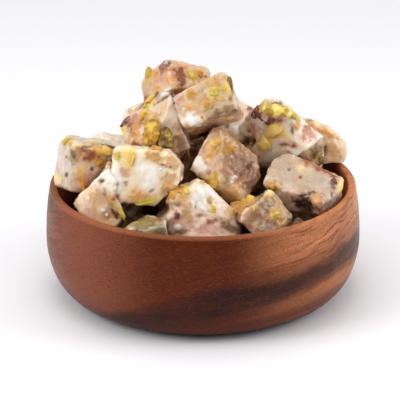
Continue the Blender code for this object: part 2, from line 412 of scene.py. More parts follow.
@dataclass(frozen=True)
class GelFinish:
    """Starch gel: cloudy and a little see-through, sticky and shiny, with its stains, and painted light and
    shade, kept on its mesh.
    """

    name: str = "delight_gel"
    light_through: float = 3.6 * MM
    bump_depth: float = 0.5 * MM
    cloudy: Colour = dye(232, 190, 140)
    pale_fleck: Colour = dye(255, 248, 238)
    tan_fleck: Colour = dye(206, 156, 104)

    def material(self) -> bpy.types.Material:
        """Writes the gel's material.

        Returns:
            The material.
        """
        s = Shader(self.name)
        tint = s.attribute("tint").outputs["Color"]
        wet = s.number(s.attribute("wet").outputs["Fac"])
        cloud = s.noise(260, 3.0, 0.55)
        flecks = s.noise(1150, 2.0, 0.6)
        colour = s.mix(cloud.ramp(0.42, 0.7) * 0.2, tint, self.cloudy, "MULTIPLY")
        colour = s.mix(flecks.ramp(0.52, 0.72) * 0.1, colour, self.pale_fleck)
        colour = s.mix(flecks.ramp(0.45, 0.25) * 0.14, colour, self.tan_fleck, "MULTIPLY")
        drag = s.noise(620, 2.0, 0.5, s.stretched((1, 1, 0.35)))
        height = (cloud * 0.9 + drag * 0.6 + flecks * 0.3) * (1.1 - wet * 0.45)
        return s.finish(
            Base_Color=colour,
            Roughness=0.4 - wet * 0.26 + (drag - 0.5) * 0.16,
            Normal=s.bump(height, self.bump_depth, 0.6),
            Subsurface_Weight=0.65,
            Subsurface_Radius=(1.0, 0.74, 0.52),
            Subsurface_Scale=self.light_through,
            Coat_Weight=wet.ramp(-0.8, 0.1, 0.04, 0.7),
            Coat_Roughness=0.07,
            IOR=1.46,
            Specular_IOR_Level=0.15,
        )


@dataclass(frozen=True)
class NutFinish:
    """Pistachio in gel: waxy flesh and papery skin, in the colours painted on its mesh."""

    name: str
    roughness: float
    ridge_mm: float
    waxy: Colour = dye(240, 200, 130)
    painted_glint_flecks: Colour = dye(255, 240, 180)

    def material(self) -> bpy.types.Material:
        """Writes the nut's material.

        Returns:
            The material.
        """
        s = Shader(self.name)
        tint = s.attribute("tint").outputs["Color"]
        grain = s.noise(900, 3.0, 0.6)
        blotch = s.noise(330, 2.0, 0.5)
        colour = s.mix(blotch.ramp(0.42, 0.7) * 0.4, tint, self.waxy, "MULTIPLY")
        # Pale flecks along the grain are painted glints.
        colour = s.mix(grain.ramp(0.5, 0.75) * 0.3, colour, self.painted_glint_flecks)
        return s.finish(
            Base_Color=colour,
            Roughness=grain * 0.2 + (self.roughness - 0.1),
            Normal=s.bump(grain * 0.6 + blotch, self.ridge_mm * MM, 0.6),
            Subsurface_Weight=0.25,
            Subsurface_Radius=(1.0, 0.7, 0.3),
            Subsurface_Scale=0.8 * MM,
            Coat_Weight=0.35,
            Coat_Roughness=0.16,
            Specular_IOR_Level=0.25,
        )


@dataclass(frozen=True)
class FloorFinish:
    """Matt white studio paper with a barely visible tooth."""

    def material(self) -> bpy.types.Material:
        """Writes the floor's material.

        Returns:
            The material.
        """
        s = Shader("studio_paper")
        tooth = s.noise(700, 2.0, 0.5)
        colour = s.mix(tooth * 0.5, dye(251, 250, 251), dye(248, 247, 249))
        bump = s.bump(tooth, 0.05 * MM, 0.3)
        return s.finish(Base_Color=colour, Roughness=0.85, Normal=bump, Specular_IOR_Level=0.2)


# ---- Modelling helpers ----


def only(piece: bpy.types.Object) -> bpy.types.Object:
    """Deselects everything, then selects one piece and makes it the active one.

    Args:
        piece: the piece.

    Returns:
        The same piece.
    """
    if bpy.context.object and bpy.context.object.mode != "OBJECT":
        bpy.ops.object.mode_set(mode="OBJECT")
    bpy.ops.object.select_all(action="DESELECT")
    piece.select_set(True)
    bpy.context.view_layer.objects.active = piece
    return piece


def modify(piece: bpy.types.Object, kind: str, **settings: Setting) -> None:
    """Adds a modifier and applies it.

    Args:
        piece: the piece to change.
        kind: Blender's type of modifier.
        settings: the modifier's own settings.
    """
    only(piece)
    modifier = piece.modifiers.new(kind.lower(), kind)
    for key, value in settings.items():
        setattr(modifier, key, value)
    bpy.ops.object.modifier_apply(modifier=modifier.name)


def copy_of(source: bpy.types.Object, name: str) -> bpy.types.Object:
    """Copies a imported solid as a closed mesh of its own.

    Args:
        source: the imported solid.
        name: the copy's name.

    Returns:
        The copy, with its doubles merged and no material.
    """
    piece = bpy.data.objects.new(name, source.data.copy())
    bpy.context.scene.collection.objects.link(piece)
    piece.data.materials.clear()
    only(piece)
    bpy.ops.object.mode_set(mode="EDIT")
    bpy.ops.mesh.select_all(action="SELECT")
    bpy.ops.mesh.remove_doubles(threshold=0.002 * MM)
    bpy.ops.object.mode_set(mode="OBJECT")
    return piece


def trim(piece: bpy.types.Object, at: Vector, outward: Vector) -> None:
    """Slices a piece with one flat cut and closes it.

    Args:
        piece: the closed piece.
        at: a point on the cut.
        outward: the side that falls away.
    """
    only(piece)
    bpy.ops.object.mode_set(mode="EDIT")
    bpy.ops.mesh.select_all(action="SELECT")
    bpy.ops.mesh.bisect(plane_co=at, plane_no=outward, use_fill=True, clear_outer=True)
    bpy.ops.object.mode_set(mode="OBJECT")


def clouds(name: str, size: float) -> bpy.types.Texture:
    """Makes soft noise for a Displace modifier.

    Args:
        name: the texture's name.
        size: how far its lumps are apart.

    Returns:
        The texture.
    """
    texture = bpy.data.textures.get(name) or bpy.data.textures.new(name, "CLOUDS")
    texture.noise_scale = size
    return texture


def points_of(piece: bpy.types.Object) -> np.ndarray:
    """Gives every vertex's place, one row each."""
    flat = np.empty(len(piece.data.vertices) * 3, np.float32)
    piece.data.vertices.foreach_get("co", flat)
    return flat.reshape(-1, 3).astype(float)


def normals_of(piece: bpy.types.Object) -> np.ndarray:
    """Gives every vertex's normal, one row each."""
    flat = np.empty(len(piece.data.vertices) * 3, np.float32)
    piece.data.vertex_normals.foreach_get("vector", flat)
    return flat.reshape(-1, 3).astype(float)


def move_points(piece: bpy.types.Object, places: np.ndarray) -> None:
    """Puts every vertex at its new place."""
    piece.data.vertices.foreach_set("co", places.astype(np.float32).ravel())
    piece.data.update()


def paint(piece: bpy.types.Object, tint: np.ndarray, wet: Optional[np.ndarray] = None) -> None:
    """Keeps a colour, and how wet it is, at every vertex.

    Args:
        piece: the piece.
        tint: linear colours, one row for each vertex.
        wet: -1 for matt, 0 for dull to 1 for glossy, or None for a piece that has no such value.
    """
    layer = piece.data.color_attributes.new("tint", "FLOAT_COLOR", "POINT")
    rows = np.ones((len(tint), 4), np.float32)
    rows[:, :3] = np.clip(tint, 0.0, 1.0)
    layer.data.foreach_set("color", rows.ravel())
    if wet is not None:
        gloss = piece.data.attributes.new("wet", "FLOAT", "POINT")
        gloss.data.foreach_set("value", np.clip(wet, -1.0, 1.0).astype(np.float32))


def ripples(places: np.ndarray, length: float, offset: Sequence[float] = (0, 0, 0)) -> np.ndarray:
    """Samples smooth noise at many places.

    Args:
        places: one row each.
        length: how far the lumps are apart.
        offset: moves the pattern, in lumps.

    Returns:
        The noise, mostly -0.6 to 0.6.
    """
    shift = Vector(offset)
    return np.array([noise.noise(Vector(p) / length + shift) for p in places])


def proudness(piece: bpy.types.Object, rounds: int = 22) -> np.ndarray:
    """Measures how far each vertex stands out of the softened surface: positive on edges, negative in dents.

    Args:
        piece: the piece.
        rounds: how much the surface is softened.

    Returns:
        Millimetres, one number for each vertex.
    """
    places = points_of(piece)
    ends = np.empty(len(piece.data.edges) * 2, np.int32)
    piece.data.edges.foreach_get("vertices", ends)
    one, two = ends[0::2], ends[1::2]
    count = np.maximum(np.bincount(np.concatenate([one, two]), minlength=len(places)), 1)
    soft = places.copy()
    for _ in range(rounds):
        total = np.zeros_like(soft)
        for k in range(3):
            total[:, k] = np.bincount(one, soft[two, k], len(places))
            total[:, k] += np.bincount(two, soft[one, k], len(places))
        soft = soft * 0.3 + total / count[:, None] * 0.7
    return ((places - soft) * normals_of(piece)).sum(axis=1) / MM


def tree_over(pieces: Sequence[bpy.types.Object]) -> BVHTree:
    """Joins the faces of some pieces for searching.

    Args:
        pieces: the pieces.

    Returns:
        One search tree over them all.
    """
    places: list[Vector] = []
    faces: list[tuple[int, ...]] = []
    for piece in pieces:
        base = len(places)
        places += [v.co.copy() for v in piece.data.vertices]
        faces += [tuple(base + i for i in p.vertices) for p in piece.data.polygons]
    return BVHTree.FromPolygons(places, faces)


def ease(value: np.ndarray, low: float, high: float) -> np.ndarray:
    """Eases an array from 0 at low to 1 at high."""
    share = np.clip((value - low) / (high - low), 0.0, 1.0)
    return share * share * (3 - 2 * share)


def blended(under: np.ndarray, over: Sequence[float], share: np.ndarray) -> np.ndarray:
    """Lays one colour over many, each by its own share."""
    return under + (np.asarray(over)[None, :] - under) * share[:, None]


# ---- The viewer ----


@dataclass(frozen=True)
class Viewer:
    """Where the bowl is looked at from, and a flat sheet through its middle that faces the viewer."""

    eye: Vector = field(default_factory=lambda: Vector((0.0, -0.7425, 0.3228)))
    aim: Vector = field(default_factory=lambda: Vector((-0.00114, 0.00424, 0.03557)))
    middle: Vector = field(default_factory=lambda: Vector((0.0, 0.0, 0.025)))
    roll_deg: float = -0.318
    lens_mm: float = 177.02
    sensor_mm: float = 36.0
    nearest: float = 0.01
    farthest: float = 20.0

    @property
    def forward(self) -> Vector:
        """The direction from the eye to the middle of the bowl."""
        return (self.middle - self.eye).normalized()

    @property
    def across(self) -> Vector:
        """The sheet's direction to the right."""
        return Vector((1.0, 0.0, 0.0))

    @property
    def up(self) -> Vector:
        """The sheet's direction upwards."""
        return self.across.cross(self.forward)

    def toward(self, across_mm: float, up_mm: float) -> Vector:
        """Gives the direction from the eye through a point on the sheet.

        Args:
            across_mm: how far right of the middle.
            up_mm: how far above the middle.

        Returns:
            The unit direction.
        """
        point = self.middle + self.across * (across_mm * MM) + self.up * (up_mm * MM)
        return (point - self.eye).normalized()

    def on_sheet(self, places: np.ndarray) -> np.ndarray:
        """Projects places onto the sheet, in millimetres across and up.

        Args:
            places: one row each.

        Returns:
            Two columns.
        """
        away = places - np.array(self.eye)
        depth = away @ np.array(self.forward)
        scale = (self.middle - self.eye).length / depth / MM
        return np.stack([(away @ np.array(self.across)) * scale, (away @ np.array(self.up)) * scale], axis=1)

    def camera(self) -> None:
        """Adds the camera and makes it the scene's."""
        turn = (self.aim - self.eye).to_track_quat("-Z", "Y").to_matrix().to_4x4()
        roll = Matrix.Rotation(math.radians(self.roll_deg), 4, "Z")
        bpy.ops.object.camera_add(location=self.eye)
        camera = bpy.context.object
        camera.name = "viewer"
        camera.matrix_world = Matrix.Translation(self.eye) @ turn @ roll
        camera.data.lens = self.lens_mm
        camera.data.sensor_width = self.sensor_mm
        camera.data.clip_start = self.nearest
        camera.data.clip_end = self.farthest
        bpy.context.scene.camera = camera


@dataclass(frozen=True)
class Studio:
    """Soft boxes at both sides and overhead, a pale room and a paper floor."""

    floor_size: float = 6.0
    room: Colour = (0.93, 0.94, 0.97)
    room_light: float = 0.6
    dim_light: float = 0.1
    seen_light: float = 0.98
    lamps_face: Vector = field(default_factory=lambda: Vector((0, 0, 0.05)))

    def build(self) -> None:
        """Adds the floor, the lights and the room."""
        bpy.ops.mesh.primitive_plane_add(size=self.floor_size, location=(0, 0, 0))
        floor = bpy.context.object
        floor.name = "studio_floor"
        floor.data.materials.append(FloorFinish().material())
        self._softbox("left_softbox", (-0.76, -0.36, 0.58), (0.5, 0.7), 4.4)
        self._softbox("right_softbox", (0.84, -0.16, 0.44), (0.45, 0.7), 3.6)
        self._softbox("front_softbox", (0.2, -0.52, 1.0), (0.7, 0.5), 0.9)
        self._softbox("top_softbox", (-0.08, 0.02, 1.0), (0.9, 0.6), 3.0)
        self._room()
        bpy.context.scene.view_settings.view_transform = "Standard"

    def _room(self) -> None:
        """Lights the room from above and behind and dims it low in front. To the eye it is evenly pale."""
        world = bpy.data.worlds.new("pale_room")
        bpy.context.scene.world = world
        world.use_nodes = True
        nodes, links = world.node_tree.nodes, world.node_tree.links
        background = nodes["Background"]
        background.inputs[0].default_value = (*self.room, 1.0)
        parts = nodes.new("ShaderNodeSeparateXYZ")
        links.new(nodes.new("ShaderNodeTexCoord").outputs["Generated"], parts.inputs[0])
        lean = nodes.new("ShaderNodeMath")
        lean.operation = "MULTIPLY_ADD"
        links.new(parts.outputs[1], lean.inputs[0])
        lean.inputs[1].default_value = 0.6
        links.new(parts.outputs[2], lean.inputs[2])
        ramp = nodes.new("ShaderNodeMapRange")
        links.new(lean.outputs[0], ramp.inputs["Value"])
        ends = {"From Min": -0.4, "From Max": 0.6, "To Min": self.dim_light, "To Max": self.room_light}
        for key, value in ends.items():
            ramp.inputs[key].default_value = value
        seen = nodes.new("ShaderNodeMix")
        links.new(nodes.new("ShaderNodeLightPath").outputs["Is Camera Ray"], seen.inputs[0])
        links.new(ramp.outputs[0], seen.inputs[2])
        seen.inputs[3].default_value = self.seen_light
        links.new(seen.outputs[0], background.inputs[1])

    def _softbox(self, name: str, place: Sequence[float], size: Sequence[float], power: float) -> None:
        """Adds one soft box that faces the heap.

        Args:
            name: its name.
            place: where it stands.
            size: its width and height.
            power: its light, in watts.
        """
        bpy.ops.object.light_add(type="AREA", location=place)
        lamp = bpy.context.object
        lamp.name = name
        lamp.data.shape = "RECTANGLE"
        lamp.data.size, lamp.data.size_y = size
        lamp.data.energy = power
        lamp.rotation_euler = (self.lamps_face - Vector(place)).to_track_quat("-Z", "Y").to_euler()


# ---- The bowl ----


@dataclass
class WoodenBowl:
    """A belly bowl turned on a lathe, with a flat foot and a thin, fully rounded lip.

    foot_shares are shares of the foot's radius: a middle point and the end of its hollow, and the two edges of
    the ring that it stands on. Each outer and inner curve, below and above the belly, has two numbers that say
    how full it is, across and upwards. With 2 and 2 it is part of an ellipse, and with more it is squarer.
    """

    belly_radius: float = 63.5 * MM
    belly_height: float = 22.4 * MM
    foot_radius: float = 40.0 * MM
    lip_radius: float = 60.0 * MM
    lip_height: float = 43.7 * MM
    lip_thickness: float = 3.3 * MM
    wall_at_belly: float = 4.6 * MM
    floor_height: float = 7.0 * MM
    floor_radius: float = 33.0 * MM
    foot_hollow: float = 0.5 * MM
    foot_shares: tuple[float, ...] = (0.45, 0.84, 0.88, 0.95)
    outer_below: tuple[float, float] = (3.5, 1.7)
    outer_above: tuple[float, float] = (1.1, 2.1)
    inner_below: tuple[float, float] = (2.4, 1.8)
    inner_above: tuple[float, float] = (2.1, 2.1)
    lip_round: tuple[float, float] = (0.42, 0.75)
    lip_rows: int = 12
    steps: int = 160
    rows: int = 22

    @staticmethod
    def _bulge(share: float, across: float, along: float) -> float:
        """Gives how far a curve has swung out, 0 to 1, at a share of its height."""
        return (1 - (1 - share) ** along) ** (1 / across)

    def _hollow_radius(self, height: float) -> float:
        """Gives the hollow's radius.

        Args:
            height: above the foot.

        Returns:
            The radius.
        """
        belly = self.belly_radius - self.wall_at_belly
        if height < self.belly_height:
            share = max(0.0, (height - self.floor_height) / (self.belly_height - self.floor_height))
            return self.floor_radius + (belly - self.floor_radius) * self._bulge(share, *self.inner_below)
        mouth = self.lip_radius - self.lip_thickness / 2
        share = min(1.0, (height - self.belly_height) / (self.lip_height - self.belly_height))
        return mouth + (belly - mouth) * self._bulge(1 - share, *self.inner_above)

    def profile(self) -> list[tuple[float, float]]:
        """Gives the turned outline.

        Returns:
            Radius and height, from the middle of the foot, round the lip, to the middle of the hollow.
        """
        hollow = self.foot_hollow
        inside, hollow_end, ring_start, ring_end = (self.foot_radius * share for share in self.foot_shares)
        line = [(0.0, hollow), (inside, hollow), (hollow_end, hollow), (ring_start, 0.0), (ring_end, 0.0)]
        across, along = self.outer_below
        for i in range(self.rows + 1):
            angle = math.pi / 2 * i / self.rows
            swing = math.sin(angle) ** (2 / across)
            radius = self.foot_radius + (self.belly_radius - self.foot_radius) * swing
            line.append((radius, self.belly_height * (1 - math.cos(angle) ** (2 / along))))
        edge = self.lip_radius + self.lip_thickness / 2
        across, along = self.outer_above
        for i in range(1, self.rows + 1):
            angle = math.pi / 2 * i / self.rows
            radius = edge + (self.belly_radius - edge) * math.cos(angle) ** (2 / across)
            rise = (self.lip_height - self.belly_height) * math.sin(angle) ** (2 / along)
            line.append((radius, self.belly_height + rise))
        reach = self.lip_thickness / 2
        flatness, fullness = self.lip_round
        for i in range(1, self.lip_rows):
            angle = math.pi * i / self.lip_rows
            side = math.copysign(abs(math.cos(angle)) ** flatness, math.cos(angle))
            rise = reach * math.sin(angle) ** fullness
            line.append((self.lip_radius + reach * side, self.lip_height + rise))
        for i in range(self.rows * 2 + 1):
            height = self.lip_height + (self.floor_height - self.lip_height) * i / (self.rows * 2)
            line.append((self._hollow_radius(height), height))
        line += [(self.floor_radius * 0.6, self.floor_height), (0.0, self.floor_height)]
        return line

    def build(self) -> bpy.types.Object:
        """Spins the outline into a closed bowl.

        Returns:
            The bowl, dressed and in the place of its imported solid.
        """
        line = self.profile()
        bpy.ops.mesh.primitive_circle_add(vertices=len(line), radius=self.belly_radius, fill_type="NOTHING")
        bowl = bpy.context.object
        bowl.name = "acacia_bowl"
        for vertex, (radius, height) in zip(bowl.data.vertices, line):
            vertex.co = (radius, 0.0, height)
        bpy.ops.object.mode_set(mode="EDIT")
        bpy.ops.mesh.select_mode(type="VERT")
        bpy.ops.mesh.select_all(action="DESELECT")
        bpy.ops.object.mode_set(mode="OBJECT")
        bowl.data.vertices[0].select = bowl.data.vertices[-1].select = True
        bpy.ops.object.mode_set(mode="EDIT")
        bpy.ops.mesh.delete(type="EDGE")
        bpy.ops.mesh.select_all(action="SELECT")
        bpy.ops.mesh.spin(steps=self.steps, angle=2 * math.pi, center=(0, 0, 0), axis=(0, 0, 1))
        bpy.ops.mesh.select_all(action="SELECT")
        bpy.ops.mesh.remove_doubles(threshold=0.01 * MM)
        bpy.ops.mesh.normals_make_consistent(inside=False)
        bpy.ops.object.mode_set(mode="OBJECT")
        only(bowl)
        bpy.ops.object.shade_smooth_by_angle(angle=math.radians(50))
        bowl.data.materials.append(AcaciaFinish().material())
        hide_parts("bowl")
        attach(bowl, "root")
        LOG.info("acacia_bowl: %d faces", len(bowl.data.polygons))
        return bowl


# ---- What is in the gel ----


class Bit(Enum):
    """What a bit in the gel is; some kinds are painted light and shade."""

    YELLOW = "yellow flesh of a kernel"
    GREEN = "green flesh of a kernel"
    PALE = "pale flesh of a kernel"
    GOLD = "kernel soaked to gold"
    AMBER = "kernel soaked to orange"
    OLIVE = "olive skin"
    BROWN = "red-brown skin"
    WINE = "wine-red skin"
    PLUM = "purple-brown skin"
    # A dark speck, and as a thin line along gaps and creases it is painted shade.
    INK_AND_CREASE_SHADE = "dark speck"
    ROSE = "pink stain"
    TAN = "tan stain"
    OCHRE = "honey-yellow stain"
    # Painted shade: a soft brown on lower and turned-away faces.
    PAINTED_SOFT_SHADE = "soft brown depth"
    LEMON = "yellow stain"
    MOSS = "green-brown stain"
    # A cloudy white patch; on shaded faces it is painted light.
    MILK_AND_PAINTED_LIGHT = "cloudy white patch"
    # Painted shade: dark brown in hollows and gaps between cubes.
    PAINTED_SHADE = "brown depth"
    # A sticky bead, with whiter paint on it and around it as a painted glint.
    BEAD_AND_GLINT = "sticky bead"


@dataclass(frozen=True)
class BitLook:
    """How one kind of bit looks.

    core is its own colour and halo the colour that it bleeds into the gel. cover and bleed are how much of
    each shows. solid says how far the bit is out of the gel: at 0.5 its middle is on the surface, less is
    deeper, and None is a stain only. wet goes from -1, matt, to 1, glossy. rise is how far the gel swells
    over it, or sinks where it is negative.
    """

    core: Colour
    halo: Colour
    cover: float = 0.85
    bleed: float = 0.5
    solid: Optional[float] = None
    wet: float = 0.5
    rise: float = 0.0


LOOKS: dict[Bit, BitLook] = {
    Bit.YELLOW: BitLook(dye(244, 204, 92), dye(240, 204, 122), 0.9, 0.75, 0.3, 0.6, 0.35 * MM),
    Bit.GREEN: BitLook(dye(212, 184, 56), dye(224, 200, 104), 0.85, 0.65, 0.28, 0.6, 0.3 * MM),
    Bit.PALE: BitLook(dye(255, 228, 132), dye(250, 200, 110), 0.9, 0.75, 0.56, 0.6, 0.35 * MM),
    Bit.GOLD: BitLook(dye(214, 154, 50), dye(220, 174, 92), 0.9, 0.75, 0.28, 0.6, 0.35 * MM),
    Bit.AMBER: BitLook(dye(216, 150, 68), dye(232, 188, 122), 0.8, 0.6, None, 0.5, 0.3 * MM),
    Bit.OLIVE: BitLook(dye(112, 86, 30), dye(178, 146, 84), 0.85, 0.5, 0.16, 0.5, 0.2 * MM),
    Bit.BROWN: BitLook(dye(136, 62, 28), dye(202, 142, 94), 0.85, 0.7, None, 0.0, 0.25 * MM),
    Bit.WINE: BitLook(dye(110, 26, 28), dye(150, 76, 62), 0.94, 0.75, 0.2, 0.5, 0.15 * MM),
    Bit.PLUM: BitLook(dye(106, 60, 56), dye(186, 142, 128), 0.85, 0.55, 0.08, 0.4, 0.15 * MM),
    # Dark specks, and painted shade where drawn as lines along gaps.
    Bit.INK_AND_CREASE_SHADE: BitLook(dye(80, 50, 36), dye(170, 128, 98), 0.85, 0.45, None, 0.4, -0.5 * MM),
    Bit.ROSE: BitLook(dye(206, 146, 120), dye(224, 184, 160), 0.6, 0.5, None, 0.6),
    Bit.TAN: BitLook(dye(204, 154, 94), dye(228, 194, 148), 0.6, 0.5, None, 0.5, 0.1 * MM),
    Bit.OCHRE: BitLook(dye(198, 144, 60), dye(226, 188, 120), 0.7, 0.6, None, 0.6, 0.2 * MM),
    # Painted shade on lower and turned-away faces.
    Bit.PAINTED_SOFT_SHADE: BitLook(dye(142, 96, 62), dye(180, 138, 100), 0.75, 0.6, None, -0.5),
    Bit.LEMON: BitLook(dye(248, 216, 118), dye(244, 220, 154), 0.7, 0.6, None, 0.6, 0.2 * MM),
    Bit.MOSS: BitLook(dye(128, 104, 50), dye(192, 170, 116), 0.6, 0.5, None, 0.5),
    # Cloudy white, and painted light where it lies on shaded faces.
    Bit.MILK_AND_PAINTED_LIGHT: BitLook(dye(255, 250, 242), dye(252, 240, 224), 0.75, 0.55, None, 0.5, 0.25 * MM),
    # Painted shade in hollows and gaps, over a real dent.
    Bit.PAINTED_SHADE: BitLook(dye(52, 24, 10), dye(126, 80, 48), 0.94, 0.6, None, -1.0, -1.6 * MM),
    # A real glossy bead, with a painted glint in its whiter colour.
    Bit.BEAD_AND_GLINT: BitLook(dye(255, 248, 240), dye(250, 234, 216), 0.5, 0.3, 0.45, 1.0, 0.15 * MM),
}

# A bit as the viewer sees it: kind, millimetres across and up on the viewer's sheet, width, height and the
# turn in degrees. Later marks lie over earlier ones.
Mark = tuple[Bit, float, float, float, float, float]

CROWN_LEFT_MARKS: tuple[Mark, ...] = (
    (Bit.GREEN, -21.5, 62.5, 3, 5, 10), (Bit.AMBER, -19.3, 62.5, 2, 4, 0), (Bit.TAN, -20, 59, 4, 3, 0),
    (Bit.ROSE, -15.5, 60.5, 5, 4, 0), (Bit.OCHRE, -4, 61.5, 6, 4, -20), (Bit.INK_AND_CREASE_SHADE, -25.5, 57.5, 1, 3, 10),
    (Bit.BROWN, -16, 65.5, 3.4, 4, 0), (Bit.BROWN, -13.4, 62.4, 2.4, 3.4, 0), (Bit.INK_AND_CREASE_SHADE, -13.5, 67, 2, 2, 0),
    (Bit.BROWN, -9.4, 62.5, 4, 5.5, 20), (Bit.OLIVE, -9.5, 58.6, 2.5, 2, 0), (Bit.AMBER, -7, 65, 3, 2, -20),
    (Bit.GREEN, -4.8, 61.3, 2.6, 4, -10), (Bit.GOLD, -1.8, 62.8, 4, 2, -20),
    (Bit.AMBER, -18, 56.5, 3, 2, 0), (Bit.YELLOW, -19.5, 53, 6, 2.4, 32), (Bit.MILK_AND_PAINTED_LIGHT, -14, 56, 5, 1.6, 35),
    (Bit.TAN, -11, 58.4, 5, 3, 20), (Bit.AMBER, -12.6, 60.4, 4, 3, 0), (Bit.BROWN, -9, 62, 4, 6, 10),
    # The long thin dark line at -15.5, 53 is a painted shadow along the gap between two cubes.
    (Bit.INK_AND_CREASE_SHADE, -15.5, 53, 6, 0.7, 33), (Bit.BROWN, -22.5, 53, 3, 2, 0), (Bit.INK_AND_CREASE_SHADE, -24.3, 52.3, 1.4, 1.2, 0),
    (Bit.LEMON, -24.6, 61, 2.4, 4, 0),
)
CROWN_RIGHT_MARKS: tuple[Mark, ...] = (
    (Bit.PLUM, -12, 53, 1, 4, 10), (Bit.PLUM, -10.8, 50.7, 2, 0.8, -20), (Bit.AMBER, -5, 54.5, 3.5, 3.5, 0),
    (Bit.AMBER, -5, 49.3, 3, 2, 20), (Bit.OCHRE, 5.5, 58, 7, 8, 10), (Bit.OCHRE, 4.5, 51.5, 4, 6, 10),
    (Bit.OCHRE, -5, 54.5, 3.4, 3.6, 0), (Bit.ROSE, -9.5, 52.5, 3, 4, 0), (Bit.TAN, -2, 50, 4.4, 4, 0),
    # The white patches at the bottom tip are painted light, and the long soft brown band is painted shade.
    (Bit.MILK_AND_PAINTED_LIGHT, -4.6, 44.2, 5, 3.6, 20), (Bit.PAINTED_SOFT_SHADE, 8, 46.4, 13, 3.4, 10), (Bit.GREEN, 5, 54.3, 3, 3.6, 20),
    (Bit.GOLD, 2.3, 50.2, 2.4, 3.2, 0), (Bit.ROSE, 5.5, 50.5, 4, 1.6, 20), (Bit.GREEN, 9, 56.5, 2.4, 2, 0),
    (Bit.OLIVE, 11.3, 56.5, 2.2, 7.5, 5), (Bit.YELLOW, 10.4, 57.2, 1.3, 3.4, 5),
    (Bit.MOSS, 8, 48, 10, 2.6, 10), (Bit.INK_AND_CREASE_SHADE, 9.5, 47, 5, 0.8, 10), (Bit.GOLD, 0, 44.6, 2, 2.4, 0),
    (Bit.MILK_AND_PAINTED_LIGHT, -3, 43.2, 5, 3, 20),
)
MIDDLE_LEFT_MARKS: tuple[Mark, ...] = (
    (Bit.GREEN, -22.5, 49.5, 2.6, 1.6, 0), (Bit.YELLOW, -23, 46.5, 4.4, 3.6, 20),
    (Bit.BROWN, -28.4, 41.4, 5, 3.4, 0), (Bit.WINE, -31, 43.4, 5.4, 1.8, 35),
    (Bit.ROSE, -27.5, 45, 4, 3, 0), (Bit.BROWN, -23.5, 42.6, 4, 1.3, -5),
    (Bit.BROWN, -28.5, 40, 1.2, 3, -20), (Bit.LEMON, -32, 39.5, 3, 3, 0), (Bit.AMBER, -27, 38, 2.5, 5, 0),
    (Bit.BROWN, -24, 35.5, 2, 2, 0), (Bit.BROWN, -22, 33.8, 2, 1.2, 0), (Bit.AMBER, -26, 35, 2.4, 1.6, 0),
    (Bit.TAN, -28, 34, 8, 3, 0), (Bit.PLUM, -26.5, 33.6, 3.5, 1.6, 0), (Bit.PAINTED_SOFT_SHADE, -8, 34, 5, 9, 12),
    (Bit.OCHRE, -21, 44, 6, 4, 20), (Bit.AMBER, -12, 31, 3, 2, 0), (Bit.TAN, -35, 45, 3, 3, 0),
)
LEFT_MARKS: tuple[Mark, ...] = (
    (Bit.GREEN, -55, 35.6, 3.4, 2, 30), (Bit.LEMON, -44, 35, 5, 3, 0), (Bit.ROSE, -47, 20.5, 5, 4, 0),
    (Bit.MOSS, -52, 29.8, 4.5, 4.5, 0), (Bit.OCHRE, -44, 31.5, 12, 4, -6), (Bit.INK_AND_CREASE_SHADE, -53, 30.5, 2, 3, 20),
    (Bit.BROWN, -46, 30.4, 6, 3.6, 0), (Bit.INK_AND_CREASE_SHADE, -47.5, 33, 6, 0.8, 5), (Bit.INK_AND_CREASE_SHADE, -42.3, 29, 1, 1, 0),
    (Bit.YELLOW, -40, 31.8, 6, 2.8, -10), (Bit.OLIVE, -39.5, 33.6, 8, 0.8, -8),
    (Bit.BROWN, -36.5, 30.5, 2.2, 1.3, 0), (Bit.GOLD, -42, 27, 3, 3, 0), (Bit.TAN, -41.5, 24.5, 2.4, 2, 0),
    # The thin dark line at -40, 24 is painted shade at a cube's edge.
    (Bit.PLUM, -37, 27, 2.5, 3, 0), (Bit.INK_AND_CREASE_SHADE, -40, 24, 2.6, 0.9, 45), (Bit.INK_AND_CREASE_SHADE, -55.5, 29.2, 0.8, 0.8, 0),
    (Bit.INK_AND_CREASE_SHADE, -45, 24.2, 0.9, 1.1, 0), (Bit.INK_AND_CREASE_SHADE, -55.5, 22, 0.9, 1.1, 0),
    (Bit.LEMON, -59.5, 20.5, 3.4, 3, 0), (Bit.GOLD, -49.2, 18, 1.6, 5, 15),
)
